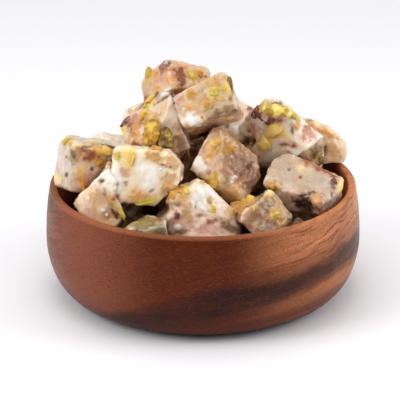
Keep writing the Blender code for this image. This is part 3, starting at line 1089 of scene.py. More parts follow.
FRONT_LEFT_MARKS: tuple[Mark, ...] = (
    (Bit.MILK_AND_PAINTED_LIGHT, -41, 19.5, 6, 6, 30), (Bit.MILK_AND_PAINTED_LIGHT, -36, 20, 6, 8, 0), (Bit.TAN, -42.5, 12, 5, 7, 0),
    (Bit.INK_AND_CREASE_SHADE, -41, 19, 1.3, 1.1, 0), (Bit.BEAD_AND_GLINT, -40.5, 7.5, 1.4, 1.4, 0), (Bit.BEAD_AND_GLINT, -39, 5.5, 1.1, 1.1, 0),
    (Bit.GREEN, -34.6, 8.6, 1.8, 8, 30), (Bit.WINE, -37.2, 9, 1.4, 8, 22),
    (Bit.WINE, -32.4, 5.4, 2.4, 3, 0), (Bit.TAN, -38.5, 5.5, 5, 5, 0), (Bit.AMBER, -38, 12, 1.6, 3, 0),
    (Bit.BROWN, -35, 12.6, 2, 2, 0), (Bit.PLUM, -32, 10, 2.4, 2.4, 0), (Bit.PLUM, -30, 8, 2.4, 2, 0),
    (Bit.GREEN, -34.2, 29.5, 2, 3, 0), (Bit.LEMON, -30, 28, 4, 8, 0), (Bit.YELLOW, -28.5, 28, 2, 5.5, -5),
    (Bit.GOLD, -19, 32, 4, 2.4, -10), (Bit.ROSE, -32, 23, 3, 3, 0), (Bit.MOSS, -35.5, 17.7, 1.6, 1.6, 0),
    (Bit.MOSS, -31, 18.3, 1.6, 1.6, 0), (Bit.BROWN, -16.2, 25.8, 4, 0.7, -22),
    (Bit.INK_AND_CREASE_SHADE, -13, 24.8, 0.8, 0.8, 0), (Bit.BEAD_AND_GLINT, -17, 24, 1.2, 1.2, 0), (Bit.BEAD_AND_GLINT, -9, 20, 1.2, 1.4, 0),
    (Bit.INK_AND_CREASE_SHADE, -20.8, 15.2, 2, 0.8, 35), (Bit.AMBER, -26, 12.8, 5, 3.4, 0),
    (Bit.BROWN, -25, 10.9, 3.6, 1.6, 10), (Bit.ROSE, -27, 9.5, 3, 1.6, 0),
    (Bit.BROWN, -23, 12.3, 1.6, 1.2, 0), (Bit.GREEN, -22.4, 10.8, 7, 2, 12), (Bit.MILK_AND_PAINTED_LIGHT, -22, 22, 7, 8, 30),
    (Bit.TAN, -11.6, 27.6, 5, 6, 30), (Bit.OCHRE, -19.6, 29, 6, 3, -10), (Bit.TAN, -14, 19.6, 5, 4, 0),
    (Bit.BROWN, -34.6, 6.4, 2.2, 2, 20), (Bit.BROWN, -30.6, 5.8, 2.4, 1.6, 0),
)
FRONT_MARKS: tuple[Mark, ...] = (
    (Bit.OCHRE, -11, 14, 9, 7, 30), (Bit.GOLD, -12.5, 16, 3.8, 3, 0), (Bit.BROWN, -14, 15, 2.5, 3, 0),
    (Bit.GOLD, -12, 12.4, 4, 4.5, 0), (Bit.BROWN, -13.6, 9.6, 2, 2, 0), (Bit.YELLOW, -8, 16.2, 4, 2, 0),
    (Bit.GREEN, -0.3, 18.3, 1.7, 1.5, 0), (Bit.LEMON, -2.5, 17.3, 1.6, 1.4, 0),
    (Bit.YELLOW, 4.5, 19.3, 3, 5.4, -10), (Bit.INK_AND_CREASE_SHADE, -3, 9.2, 1, 2.5, 0), (Bit.YELLOW, 4, 7.6, 2.6, 2.4, 0),
    (Bit.BROWN, -1, 5.4, 2.4, 1.2, 0), (Bit.ROSE, -9, 3, 7, 8, 0), (Bit.ROSE, 4, -0.4, 12, 3, 0),
    (Bit.TAN, 10, 3.6, 3.4, 7, -25), (Bit.TAN, -6.5, 11, 3, 6, 0), (Bit.TAN, -6.4, 5.4, 4, 5, 10),
    (Bit.PAINTED_SOFT_SHADE, -16, 6, 3, 5, 0), (Bit.PAINTED_SOFT_SHADE, -11.6, 9.6, 3, 2, 0), (Bit.MOSS, -13.6, 12, 3, 4, 20),
    (Bit.BROWN, -13.6, 13.4, 1.6, 3.4, 10), (Bit.PAINTED_SOFT_SHADE, -9.6, -1.4, 4, 1.6, 0),
    (Bit.BROWN, 2.5, 2.6, 3, 1.4, 0), (Bit.PLUM, 8, 0.6, 1.4, 1, 0), (Bit.OLIVE, -15, 12.5, 3, 2.4, 0),
    (Bit.YELLOW, -7, 14.6, 3, 2.4, 20), (Bit.YELLOW, 2.8, 17.4, 4, 4.6, 0), (Bit.GOLD, -9.6, 13.8, 3, 3, 0),
    (Bit.OLIVE, -15.4, 9, 2.6, 2, 0), (Bit.MILK_AND_PAINTED_LIGHT, -10.5, 0.5, 2, 1.6, 0),
    (Bit.PLUM, -10.5, 5.5, 1.6, 2.4, 10), (Bit.BROWN, 5, 3.4, 1.8, 1.2, 20),
    (Bit.PAINTED_SOFT_SHADE, 10.5, 0.4, 6, 2.6, -30), (Bit.MILK_AND_PAINTED_LIGHT, 1, 12.6, 8, 7, 0), (Bit.MOSS, -23, 4, 6, 5, 0),
    (Bit.GREEN, -25.4, 4.2, 3, 2.4, 0), (Bit.BROWN, -17.8, 2.8, 1.6, 1.4, 0),
)
MIDDLE_MARKS: tuple[Mark, ...] = (
    (Bit.YELLOW, 5, 34.4, 4.6, 2.4, 40), (Bit.AMBER, 4, 31.5, 4.4, 3.4, 40),
    (Bit.AMBER, 2.8, 28.5, 3.4, 3.4, 0), (Bit.GOLD, 4.6, 32, 3, 2, 40), (Bit.OCHRE, 8.5, 32, 7, 5, 20),
    (Bit.GOLD, 10.5, 31.5, 4, 2.4, 10), (Bit.AMBER, 14, 31, 2.4, 1.8, 0), (Bit.ROSE, 12.5, 28.3, 2, 1.8, 0),
    (Bit.ROSE, 5, 24.8, 3.4, 1.8, 0), (Bit.TAN, 9, 38, 4, 3, 0), (Bit.MILK_AND_PAINTED_LIGHT, -1, 24.6, 4, 5, 0),
    (Bit.PAINTED_SOFT_SHADE, 18.5, 20, 8, 7, 40), (Bit.PAINTED_SOFT_SHADE, 15, 26.5, 8, 7, 0), (Bit.PLUM, 17.5, 23.8, 6, 1.4, 48),
    (Bit.BROWN, 18, 22.6, 2.6, 1.4, 48), (Bit.BEAD_AND_GLINT, 13, 20.5, 1.8, 1.4, 0),
    (Bit.BEAD_AND_GLINT, 11.5, 18.5, 1.2, 1.2, 0), (Bit.AMBER, 13.5, 16.5, 4.6, 1.3, 45),
    (Bit.MOSS, 10, 19, 2.6, 2.6, 0), (Bit.TAN, 12, 12.6, 8, 5, 0),
)
UNDER_CROWN_MARKS: tuple[Mark, ...] = (
    # The dark patches here are painted shade in the hollow between cubes.
    (Bit.ROSE, 12, 43.4, 4, 2.4, 0), (Bit.INK_AND_CREASE_SHADE, 10, 42, 1.8, 2.4, 0), (Bit.PAINTED_SHADE, -2, 36, 5, 5, 0),
    (Bit.PAINTED_SHADE, 0, 38, 7, 4, 20), (Bit.PAINTED_SHADE, -3.4, 31.4, 3, 4, 0), (Bit.TAN, -6, 24, 4, 6, 0),
)
UPPER_RIGHT_MARKS: tuple[Mark, ...] = (
    (Bit.PALE, 25, 49.6, 2.6, 4.8, -25), (Bit.OLIVE, 30, 49.6, 4, 1.6, 0), (Bit.TAN, 34, 48.5, 3, 2, 0),
    (Bit.WINE, 21.8, 46.8, 2.8, 4.4, -25), (Bit.BROWN, 20.4, 48.4, 3, 4, -25),
    (Bit.WINE, 25, 44.8, 6.6, 3.2, -30), (Bit.PLUM, 26, 43.8, 4, 1.4, -25),
    # The white patches on the left of this cube are painted light on its shaded side.
    (Bit.WINE, 29.6, 43.6, 5.4, 2, 5), (Bit.BROWN, 19, 46, 2.4, 3.4, -20), (Bit.MILK_AND_PAINTED_LIGHT, 22.5, 43.5, 4, 4, 0),
    (Bit.MILK_AND_PAINTED_LIGHT, 21.5, 39.5, 6, 5, 0), (Bit.MILK_AND_PAINTED_LIGHT, 26, 30, 7, 5, -30), (Bit.MILK_AND_PAINTED_LIGHT, 38, 31, 8, 3.4, 0),
    (Bit.ROSE, 20.5, 40, 3, 4, 0), (Bit.PALE, 25.4, 34.4, 4.2, 4.6, 20), (Bit.PALE, 29.6, 39.4, 5, 4, 15),
    (Bit.AMBER, 29.2, 37.4, 3, 1.8, 0), (Bit.GREEN, 37.5, 44.5, 3, 3.4, 0), (Bit.MILK_AND_PAINTED_LIGHT, 35.5, 41.5, 3, 4, 0),
    (Bit.INK_AND_CREASE_SHADE, 36.5, 39.5, 1.2, 2.2, 0), (Bit.AMBER, 38.5, 41, 2, 2, 0), (Bit.BROWN, 42.3, 39, 2.4, 4.2, 0),
    (Bit.BROWN, 33.3, 34, 2.4, 1.3, 10), (Bit.BROWN, 37.2, 33.3, 2.4, 1.1, -15),
    (Bit.PAINTED_SHADE, 18, 34.5, 5, 3, 20), (Bit.ROSE, 43, 37.6, 4, 4, 0),
)
RIGHT_MARKS: tuple[Mark, ...] = (
    (Bit.BROWN, 44.2, 43.3, 1.8, 2.5, 0), (Bit.LEMON, 46.8, 43, 2.4, 2, 0),
    (Bit.AMBER, 50.5, 38.5, 9, 1.8, -28), (Bit.TAN, 52.5, 32, 3.4, 4, 0), (Bit.MOSS, 46, 31.5, 4, 4, 0),
    (Bit.INK_AND_CREASE_SHADE, 50, 31.5, 1.3, 4, 0), (Bit.PAINTED_SHADE, 48, 28.5, 3, 1.6, 0), (Bit.INK_AND_CREASE_SHADE, 35.2, 23.8, 0.9, 1, 0),
    (Bit.BROWN, 39.8, 20.2, 0.9, 1.1, 0), (Bit.INK_AND_CREASE_SHADE, 32, 17.8, 0.8, 0.9, 0),
    (Bit.BROWN, 41.8, 26.2, 1.6, 2.6, 0), (Bit.BROWN, 45, 26.6, 5, 0.8, -35),
    (Bit.PLUM, 50.5, 23.6, 6, 1.2, -28), (Bit.LEMON, 40, 24, 2, 2, 0), (Bit.GOLD, 28.5, 17, 3.4, 3, 0),
    (Bit.PLUM, 53, 17.6, 2.2, 3.6, -10), (Bit.INK_AND_CREASE_SHADE, 53, 13.5, 1.4, 2, 0), (Bit.LEMON, 56, 17.5, 1.8, 7, 0),
    (Bit.ROSE, 40, 14, 8, 3, 0), (Bit.BROWN, 46, 9.6, 4, 6, 0), (Bit.PAINTED_SHADE, 42.2, 9, 7, 9, 0),
    (Bit.AMBER, 45.8, 11, 2.6, 4, 0), (Bit.BROWN, 48.5, 23.4, 14, 1.2, -28),
)
FRONT_RIGHT_MARKS: tuple[Mark, ...] = (
    (Bit.YELLOW, 19.5, 11, 3.4, 3.4, 0), (Bit.GOLD, 14.5, 8.6, 4.6, 3, 0), (Bit.AMBER, 17.5, 6.5, 3, 3, 0),
    (Bit.PLUM, 18.3, 8.2, 1.4, 1.2, 0), (Bit.LEMON, 26.5, 15, 3, 2, 0), (Bit.GOLD, 12.8, 6.8, 2.4, 2, 0),
    (Bit.YELLOW, 16, 11.2, 2.6, 2, 0), (Bit.BROWN, 15.6, 4.6, 2.6, 2, 0),
    (Bit.YELLOW, 20.6, 7.6, 1.6, 2, 0), (Bit.BROWN, 18.6, 0.6, 3, 2, 0), (Bit.TAN, 31, 8, 3, 6, 20),
    (Bit.YELLOW, 29.4, 5, 2.4, 2.4, 0), (Bit.MILK_AND_PAINTED_LIGHT, 31.6, 4.6, 2, 2.4, 0), (Bit.OCHRE, 18, 9, 7, 7, 20),
    (Bit.PAINTED_SOFT_SHADE, 21, 4, 6, 4, 20), (Bit.PAINTED_SOFT_SHADE, 28, 0.8, 8, 3, 10), (Bit.OCHRE, 31.5, 3.6, 3, 6, 30),
)
ALL_MARKS: tuple[Mark, ...] = (
    *CROWN_LEFT_MARKS, *CROWN_RIGHT_MARKS, *MIDDLE_LEFT_MARKS, *LEFT_MARKS, *FRONT_LEFT_MARKS, *FRONT_MARKS,
    *MIDDLE_MARKS, *UNDER_CROWN_MARKS, *UPPER_RIGHT_MARKS, *RIGHT_MARKS, *FRONT_RIGHT_MARKS,
)

SKINS = (Bit.OLIVE, Bit.PLUM, Bit.WINE)
# What the dice choose from. A kind that comes twice comes twice as often.
SCATTERED = (
    Bit.YELLOW, Bit.YELLOW, Bit.GOLD, Bit.GOLD, Bit.GREEN, Bit.GREEN, Bit.BROWN, Bit.BROWN, Bit.AMBER,
    Bit.OLIVE, Bit.TAN, Bit.OCHRE, Bit.OCHRE, Bit.LEMON, Bit.ROSE, Bit.PLUM, Bit.WINE, Bit.INK_AND_CREASE_SHADE, Bit.MILK_AND_PAINTED_LIGHT,
    Bit.PALE, Bit.PAINTED_SOFT_SHADE,
)
CRUMBS = (Bit.INK_AND_CREASE_SHADE, Bit.BROWN, Bit.LEMON, Bit.GOLD)
# Stains, painted light and painted shade that are too bold to add by dice where the viewer looks.
BOLD = (Bit.MILK_AND_PAINTED_LIGHT, Bit.BROWN, Bit.PAINTED_SOFT_SHADE)


@dataclass
class Spot:
    """A bit that has found its place on the gel.

    centre is on the surface, and wide, high and out are unit directions: along its width, along its height
    and out of the gel. width and height are its full size, and reach is how deep its stain goes.
    """

    kind: Bit
    centre: Vector
    wide: Vector
    high: Vector
    out: Vector
    width: float
    height: float
    reach: float


# ---- The sweets ----


@dataclass(frozen=True)
class Cut:
    """One more knife cut on a cube, as the viewer sees it.

    across_mm and up_mm give a point on it, falls_deg the way its waste falls, facing_deg how far it turns to
    face the viewer, and nearer_mm how much nearer to the viewer than the middle of the cube it lies.
    """

    cube: str
    across_mm: float
    up_mm: float
    falls_deg: float
    facing_deg: float = 0.0
    nearer_mm: float = 0.0


CUTS: tuple[Cut, ...] = (
    Cut("cube_front_left", -13.5, 15.0, -46),
    Cut("cube_front_left", -9.6, 28.0, 42),
    Cut("cube_low_front", -25.0, 4.4, 122),
    Cut("cube_low_front", -14.6, 1.0, 8),
    Cut("cube_mid_right", 49.2, 28.5, -14),
    Cut("cube_crown_left", -25.2, 65.0, 150),
    Cut("cube_left", -58.5, 34.5, 135),
    Cut("cube_low_left", -48.4, 15.6, 142),
    Cut("cube_right", 56.5, 22.5, 35),
    Cut("cube_right", 26.5, 15.5, -135),
    Cut("cube_right", 41.0, 5.8, -100),
    Cut("cube_front_right", 16.4, 1.6, -138),
    Cut("cube_middle", -0.8, 32.0, 152),
    Cut("cube_middle", -2.4, 21.4, -131),
    Cut("cube_middle", 22.8, 26.0, 8),
    Cut("cube_upper_right", 43.0, 32.4, -56),
    Cut("cube_upper_right", 34.0, 38.0, 120, 80, 6.5),
    Cut("cube_far_right", 54.5, 38.4, 48),
    Cut("cube_far_right", 53.0, 26.2, -86),
)


@dataclass(frozen=True)
class Pull:
    """A soft pull on a cube, as the viewer sees it: its middle, how far it reaches, and how the gel moves."""

    cube: str
    across_mm: float
    up_mm: float
    felt_mm: float
    right_mm: float
    rise_mm: float


PULLS: tuple[Pull, ...] = (
    Pull("cube_low_left", -38.5, 18.0, 13, 3.4, 0.5),
    Pull("cube_low_left", -39.0, 5.0, 11, 6.5, 0.0),
    Pull("cube_front_left", -35.0, 17.0, 11, -2.6, -1.0),
    Pull("cube_front_left", -34.0, 30.0, 8, -1.6, 0.6),
    Pull("cube_upper_left", -13.5, 51.5, 9, 0.6, 3.6),
    Pull("cube_front_right", 17.0, 8.0, 8, -3.4, 0.0),
    Pull("cube_front_centre", 8.5, -2.0, 11, 6.0, -2.0),
    Pull("cube_front_centre", -9.5, -2.0, 10, -5.0, -1.0),
    Pull("cube_front_centre", -10.5, 13.5, 7, -4.0, 1.0),
    Pull("cube_far_right", 54.5, 28.5, 8, 3.2, 0.0),
    Pull("cube_upper_right", 31.0, 46.0, 9, 0.0, 4.2),
    Pull("cube_upper_right", 26.0, 31.0, 10, -2.6, -4.0),
    Pull("cube_right", 30.0, 26.0, 8, -1.5, 1.0),
)


@dataclass(frozen=True)
class GelTone:
    """A cube's tone, partly its own tint and partly painted light and shade, and how strong its tan, rosy and
    green clouding is.
    """

    base: Colour = dye(246, 230, 210)
    tan: float = 0.5
    rosy: float = 0.4
    green: float = 0.2


# Cubes seen only in the gaps, and the tone of the hidden layer on the bowl's floor, a dark brown that is
# painted shade.
SUNKEN = ("cube_inner_left", "cube_inner_back", "cube_low_right")
SHADED_FLOOR_TONE = GelTone(dye(104, 58, 28), 0.4, 0.1, 0.2)
# Each tone is partly painted light and shade: the deep and lower cubes are darker, and each is set for the
# light its cube gets.
TONES: dict[str, GelTone] = {
    "cube_crown_left": GelTone(dye(218, 184, 152), 0.5, 0.4, 0.2),
    "cube_crown_right": GelTone(dye(208, 178, 148), 0.3, 0.2, 0.1),
    "cube_upper_left": GelTone(dye(236, 214, 190), 0.5, 0.3, 0.2),
    "cube_left": GelTone(dye(218, 202, 188), 0.4, 0.3, 0.4),
    "cube_low_left": GelTone(dye(244, 214, 180), 0.5, 0.3, 0.2),
    "cube_front_left": GelTone(dye(254, 236, 210), 0.3, 0.3, 0.2),
    "cube_front_centre": GelTone(dye(244, 222, 202), 0.15, 0.4, 0.1),
    "cube_low_front": GelTone(dye(136, 118, 80), 0.3, 0.1, 0.8),
    "cube_middle": GelTone(dye(188, 140, 104), 0.5, 0.5, 0.2),
    "cube_upper_right": GelTone(dye(255, 240, 222), 0.15, 0.4, 0.05),
    "cube_right": GelTone(dye(198, 176, 156), 0.35, 0.3, 0.3),
    "cube_far_right": GelTone(dye(236, 208, 176), 0.5, 0.1, 0.3),
    "cube_mid_right": GelTone(dye(206, 168, 126), 0.6, 0.1, 0.5),
    "cube_front_right": GelTone(dye(145, 112, 70), 0.4, 0.1, 0.4),
    "cube_low_right": GelTone(dye(120, 82, 48), 0.5, 0.1, 0.6),
    "cube_inner_left": GelTone(dye(196, 136, 98), 0.6, 0.2, 0.2),
    "cube_inner_back": GelTone(dye(92, 50, 24), 0.6, 0.2, 0.2),
    "cube_inner_right": GelTone(dye(240, 206, 176), 0.6, 0.4, 0.2),
}


@dataclass
class DelightHeap:
    """The cubes of gel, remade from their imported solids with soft, sticky, knife-cut faces and stains."""

    # Cubes that have stuck together, so no painted crevice shade is put between them.
    FUSED: ClassVar[tuple[tuple[str, str], ...]] = (
        ("cube_low_left", "cube_front_left"),
        ("cube_crown_left", "cube_upper_left"),
        ("cube_middle", "cube_upper_right"),
        ("cube_inner_right", "cube_upper_right"),
        ("cube_right", "cube_upper_right"),
        ("cube_crown_right", "cube_inner_back"),
        ("cube_crown_right", "cube_inner_left"),
        ("cube_crown_right", "cube_upper_left"),
    )

    viewer: Viewer
    nodes: dict[str, bpy.types.Object]
    fine: float = 0.6 * MM
    coarse: float = 0.95 * MM
    lump_length: float = 5.0 * MM
    lump_height: float = 1.4 * MM
    drag_length: float = 1.9 * MM
    drag_height: float = 0.5 * MM
    crevice: float = 4.0 * MM
    deepest: float = 2.2 * MM
    highest: float = 0.7 * MM
    stain_edge: float = 3.2
    small_bit: float = 1.6 * MM
    # Painted shade: each cube is darker and warmer towards its bottom.
    painted_low_shade: Colour = (0.74, 0.55, 0.38)
    tan: Colour = dye(222, 184, 130)
    rosy: Colour = dye(222, 186, 168)
    green: Colour = dye(190, 170, 104)
    milky: Colour = dye(255, 246, 234)
    # Painted shade in the crevices between cubes.
    painted_crevice_shade: Colour = dye(122, 70, 34)
    painted_deep_crevice_shade: Colour = dye(96, 48, 20)
    # Painted light on edges and painted shade in dents.
    painted_edge_glow: Colour = dye(255, 246, 230)
    painted_dent_shade: Colour = dye(206, 150, 98)
    bit_outline: Colour = dye(128, 78, 40)
    cubes: dict[str, bpy.types.Object] = field(default_factory=dict)

    def shape(self) -> None:
        """Remakes every cube with soft edges and a dragged, lumpy skin."""
        finish = GelFinish().material()
        lumps, drag = clouds("gel_lumps", self.lump_length), clouds("gel_drag", self.drag_length)
        for name in sorted(n for n in self.nodes if n.startswith("cube_")):
            voxel = self.coarse if name.startswith("cube_floor") else self.fine
            cube = copy_of(self.nodes[name], name.replace("cube_", "delight_"))
            for cut in (c for c in CUTS if c.cube == name):
                self._cut(cube, cut)
            modify(cube, "REMESH", mode="VOXEL", voxel_size=voxel, use_smooth_shade=True)
            for pull in (p for p in PULLS if p.cube == name):
                self._pull(cube, pull)
            modify(cube, "SMOOTH", factor=0.5, iterations=2)
            modify(cube, "DISPLACE", texture=lumps, strength=self.lump_height, mid_level=0.55)
            modify(cube, "DISPLACE", texture=drag, strength=self.drag_height, mid_level=0.55)
            cube.data.materials.append(finish)
            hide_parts(name)
            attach(cube, "root")
            self.cubes[name] = cube
            LOG.info("%s: %d faces", cube.name, len(cube.data.polygons))

    def _cut(self, cube: bpy.types.Object, cut: Cut) -> None:
        """Takes one more slice off a cube.

        Args:
            cube: the closed cube.
            cut: where and which way.
        """
        ray = self.viewer.toward(cut.across_mm, cut.up_mm)
        middle = sum((Vector(c) for c in cube.bound_box), Vector()) / 8
        at = self.viewer.eye + ray * ((middle - self.viewer.eye).dot(ray) - cut.nearer_mm * MM)
        fall, facing = math.radians(cut.falls_deg), math.radians(cut.facing_deg)
        sideways = self.viewer.across * math.cos(fall) + self.viewer.up * math.sin(fall)
        sideways = (sideways - ray * sideways.dot(ray)).normalized()
        trim(cube, at, sideways * math.cos(facing) - ray * math.sin(facing))

    def _pull(self, cube: bpy.types.Object, pull: Pull) -> None:
        """Drags part of a cube sideways, as sticky gel stretches.

        Args:
            cube: the remeshed cube.
            pull: where and how far.
        """
        places = points_of(cube)
        sheet = self.viewer.on_sheet(places)
        aside = np.hypot(sheet[:, 0] - pull.across_mm, sheet[:, 1] - pull.up_mm) / pull.felt_mm
        share = np.clip(1 - aside**2, 0, None) ** 2
        step = (self.viewer.across * pull.right_mm + self.viewer.up * pull.rise_mm) * MM
        move_points(cube, places + share[:, None] * np.array(step)[None, :])

    def colour(self, spots: list[Spot]) -> None:
        """Paints every cube: its tone, soft clouding, each bit's stain, painted shade in crevices, dents and
        towards its bottom, and painted light on its edges.

        Args:
            spots: every bit in the heap.
        """
        trees = {name: tree_over([cube]) for name, cube in self.cubes.items()}
        for name, cube in self.cubes.items():
            places = points_of(cube)
            low, high = places.min(axis=0), places.max(axis=0)
            fine = ripples(places, 2.3 * MM, (0, 5.7, 0))
            near = self._nearness(name, places, trees)
            tint = self._clouding(name, places, fine, near)
            wet = 0.5 + fine * 0.8
            swell = np.zeros(len(places))
            ragged = fine * 0.8 + ripples(places, 1.2 * MM, (2.2, 2.2, 2.2)) * 0.6
            for spot in spots:
                reach = spot.reach + max(spot.width, spot.height) * 1.4
                centre = np.array(spot.centre)
                if np.all(centre >= low - reach) and np.all(centre <= high + reach):
                    self._stain(places, tint, wet, swell, ragged, spot)
            proud = proudness(cube)
            # Painted light on proud edges, painted shade in dents and in the crevices between cubes.
            tint = blended(tint, self.painted_edge_glow, ease(proud + fine * 0.12, 0.2, 0.8) * 0.42)
            tint = blended(tint, self.painted_dent_shade, ease(-proud, 0.12, 0.5) * 0.45)
            tint = blended(tint, self.painted_deep_crevice_shade, near**1.4 * 0.7)
            wet = wet + ease(proud, 0.1, 0.6) * 0.3 - near * 2.2 - (1.6 if name in SUNKEN else 0.0)
            paint(cube, tint, wet)
            swell = np.clip(swell, -self.deepest, self.highest)
            move_points(cube, places + normals_of(cube) * swell[:, None])

    def _clouding(self, name: str, places: np.ndarray, fine: np.ndarray, near: np.ndarray) -> np.ndarray:
        """Gives a cube's colours before its bits, with painted shade near other cubes and towards its bottom.

        Args:
            name: the cube.
            places: its vertices.
            fine: small noise that frays the clouds.
            near: how close each vertex is to the next cube.

        Returns:
            One linear colour for each vertex.
        """
        tone = TONES.get(name, SHADED_FLOOR_TONE if name.startswith("cube_floor") else GelTone())
        tint = np.repeat(np.array([tone.base]), len(places), axis=0)
        wide = ripples(places, 7 * MM, (3.1, 0, 0))
        clouds_over = (
            (self.tan, wide + fine * 0.2, 0.0, 0.7, tone.tan),
            (self.rosy, ripples(places, 8 * MM, (0, 0, 9.3)) + fine * 0.2, 0.1, 0.7, tone.rosy),
            (self.green, ripples(places, 9 * MM, (0, 4.2, 9.3)) - fine * 0.2, 0.1, 0.7, tone.green),
            (self.milky, ripples(places, 6 * MM, (7.7, 1.2, 0)) + fine * 0.25, 0.1, 0.8, 0.16),
        )
        for colour, cloud, start, full, strength in clouds_over:
            tint = blended(tint, colour, ease(cloud, start, full) * strength)
        # Painted shade near the next cube.
        tint = blended(tint, self.painted_crevice_shade, near * 0.55)
        # Painted shade towards the bottom of the cube.
        low, high = places[:, 2].min(), places[:, 2].max()
        height = (places[:, 2] - low) / (high - low) + wide * 0.25
        low_shade_share = (1 - ease(height, 0.05, 0.62)) * 0.75
        return tint * (1 - low_shade_share[:, None] * (1 - np.array(self.painted_low_shade)[None, :]))

    def _stain(
        self,
        places: np.ndarray,
        tint: np.ndarray,
        wet: np.ndarray,
        swell: np.ndarray,
        ragged: np.ndarray,
        spot: Spot,
    ) -> None:
        """Bleeds one bit into the gel, and swells or sinks the gel over it.

        Args:
            places: the cube's vertices.
            tint: their colours, changed in place.
            wet: their wetness, changed in place.
            swell: how far each moves out, changed in place.
            ragged: noise that frays the stain's edge.
            spot: the bit.
        """
        away = places - np.array(spot.centre)
        across = away @ np.array(spot.wide) / (spot.width / 2)
        along = away @ np.array(spot.high) / (spot.height / 2)
        aside = np.hypot(across, along)
        depth = np.abs(away @ np.array(spot.out))
        touched = (aside < self.stain_edge) & (depth < spot.reach)
        if not touched.any():
            return
        look = LOOKS[spot.kind]
        d = aside[touched] + ragged[touched]
        fade = 1 - ease(depth[touched], spot.reach * 0.5, spot.reach)
        small = min(spot.width, spot.height) < self.small_bit
        halo = (1 - ease(d, 0.8, 2.6 if small else 1.9)) * look.bleed * fade
        core = (1 - ease(d, 0.7, 1.2)) * look.cover * fade
        tint[touched] = blended(blended(tint[touched], look.halo, halo), look.core, core)
        if look.solid is not None and spot.kind is not Bit.BEAD_AND_GLINT:
            outline = (1 - ease(np.abs(d - 1.15), 0.0, 0.4)) * ease(ragged[touched], 0.1, 0.4) * fade
            tint[touched] = blended(tint[touched], self.bit_outline, outline * 0.5)
        wet[touched] += (look.wet - wet[touched]) * core
        swell[touched] += (1 - ease(aside[touched], 0.5, 1.7)) * look.rise * fade

    def _nearness(self, name: str, places: np.ndarray, trees: dict[str, BVHTree]) -> np.ndarray:
        """Gives 1 where a cube touches another that it isn't fused with, falling to 0 at the crevice's width.

        Args:
            name: the cube.
            places: its vertices.
            trees: every cube's search tree.

        Returns:
            One number for each vertex.
        """
        gap = np.full(len(places), self.crevice)
        low, high = places.min(axis=0) - self.crevice, places.max(axis=0) + self.crevice
        for other, tree in trees.items():
            if other == name or (name, other) in self.FUSED or (other, name) in self.FUSED:
                continue
            corners = np.array([c[:] for c in self.cubes[other].bound_box])
            their_low, their_high = corners.min(axis=0), corners.max(axis=0)
            if np.any(their_high < low) or np.any(their_low > high):
                continue
            close = (places > their_low - self.crevice) & (places < their_high + self.crevice)
            for i in np.flatnonzero(close.all(axis=1)):
                found = tree.find_nearest(places[i], gap[i])
                if found[3] is not None:
                    gap[i] = min(gap[i], found[3])
        return (1 - gap / self.crevice) ** 1.5


# ---- The nuts ----


@dataclass(frozen=True)
class BitShape:
    """A rough ball of unit radius: how finely it is divided, how high its lumps are, and its flat knife cuts.

    Each cut is a vector: the way it faces, and at its length from the middle.
    """

    levels: int
    lumps: float
    cuts: tuple[tuple[float, float, float], ...] = ()


BIT_SHAPES: dict[str, BitShape] = {
    "chunk_0": BitShape(3, 0.16, ((0.5, 0.2, 0.62), (-0.7, 0.2, 0.2), (0.1, -0.8, 0.3), (0.72, 0.4, -0.1))),
    "chunk_1": BitShape(3, 0.16, ((-0.4, 0.3, 0.6), (0.8, -0.1, 0.1), (-0.3, 0.76, 0.1), (-0.5, -0.6, 0.1))),
    "chunk_2": BitShape(3, 0.2, ((0.0, 0.3, 0.7), (0.5, 0.65, 0.0), (-0.78, 0.1, 0.2))),
    "flake_0": BitShape(3, 0.2, ((0.2, 0.1, 0.4), (0.5, 0.65, 0.0))),
    "flake_1": BitShape(3, 0.24, ((-0.2, 0.1, 0.4), (-0.76, 0.2, 0.0))),
    "crumb": BitShape(1, 0.14),
    "bead_and_glint": BitShape(2, 0.03),
}


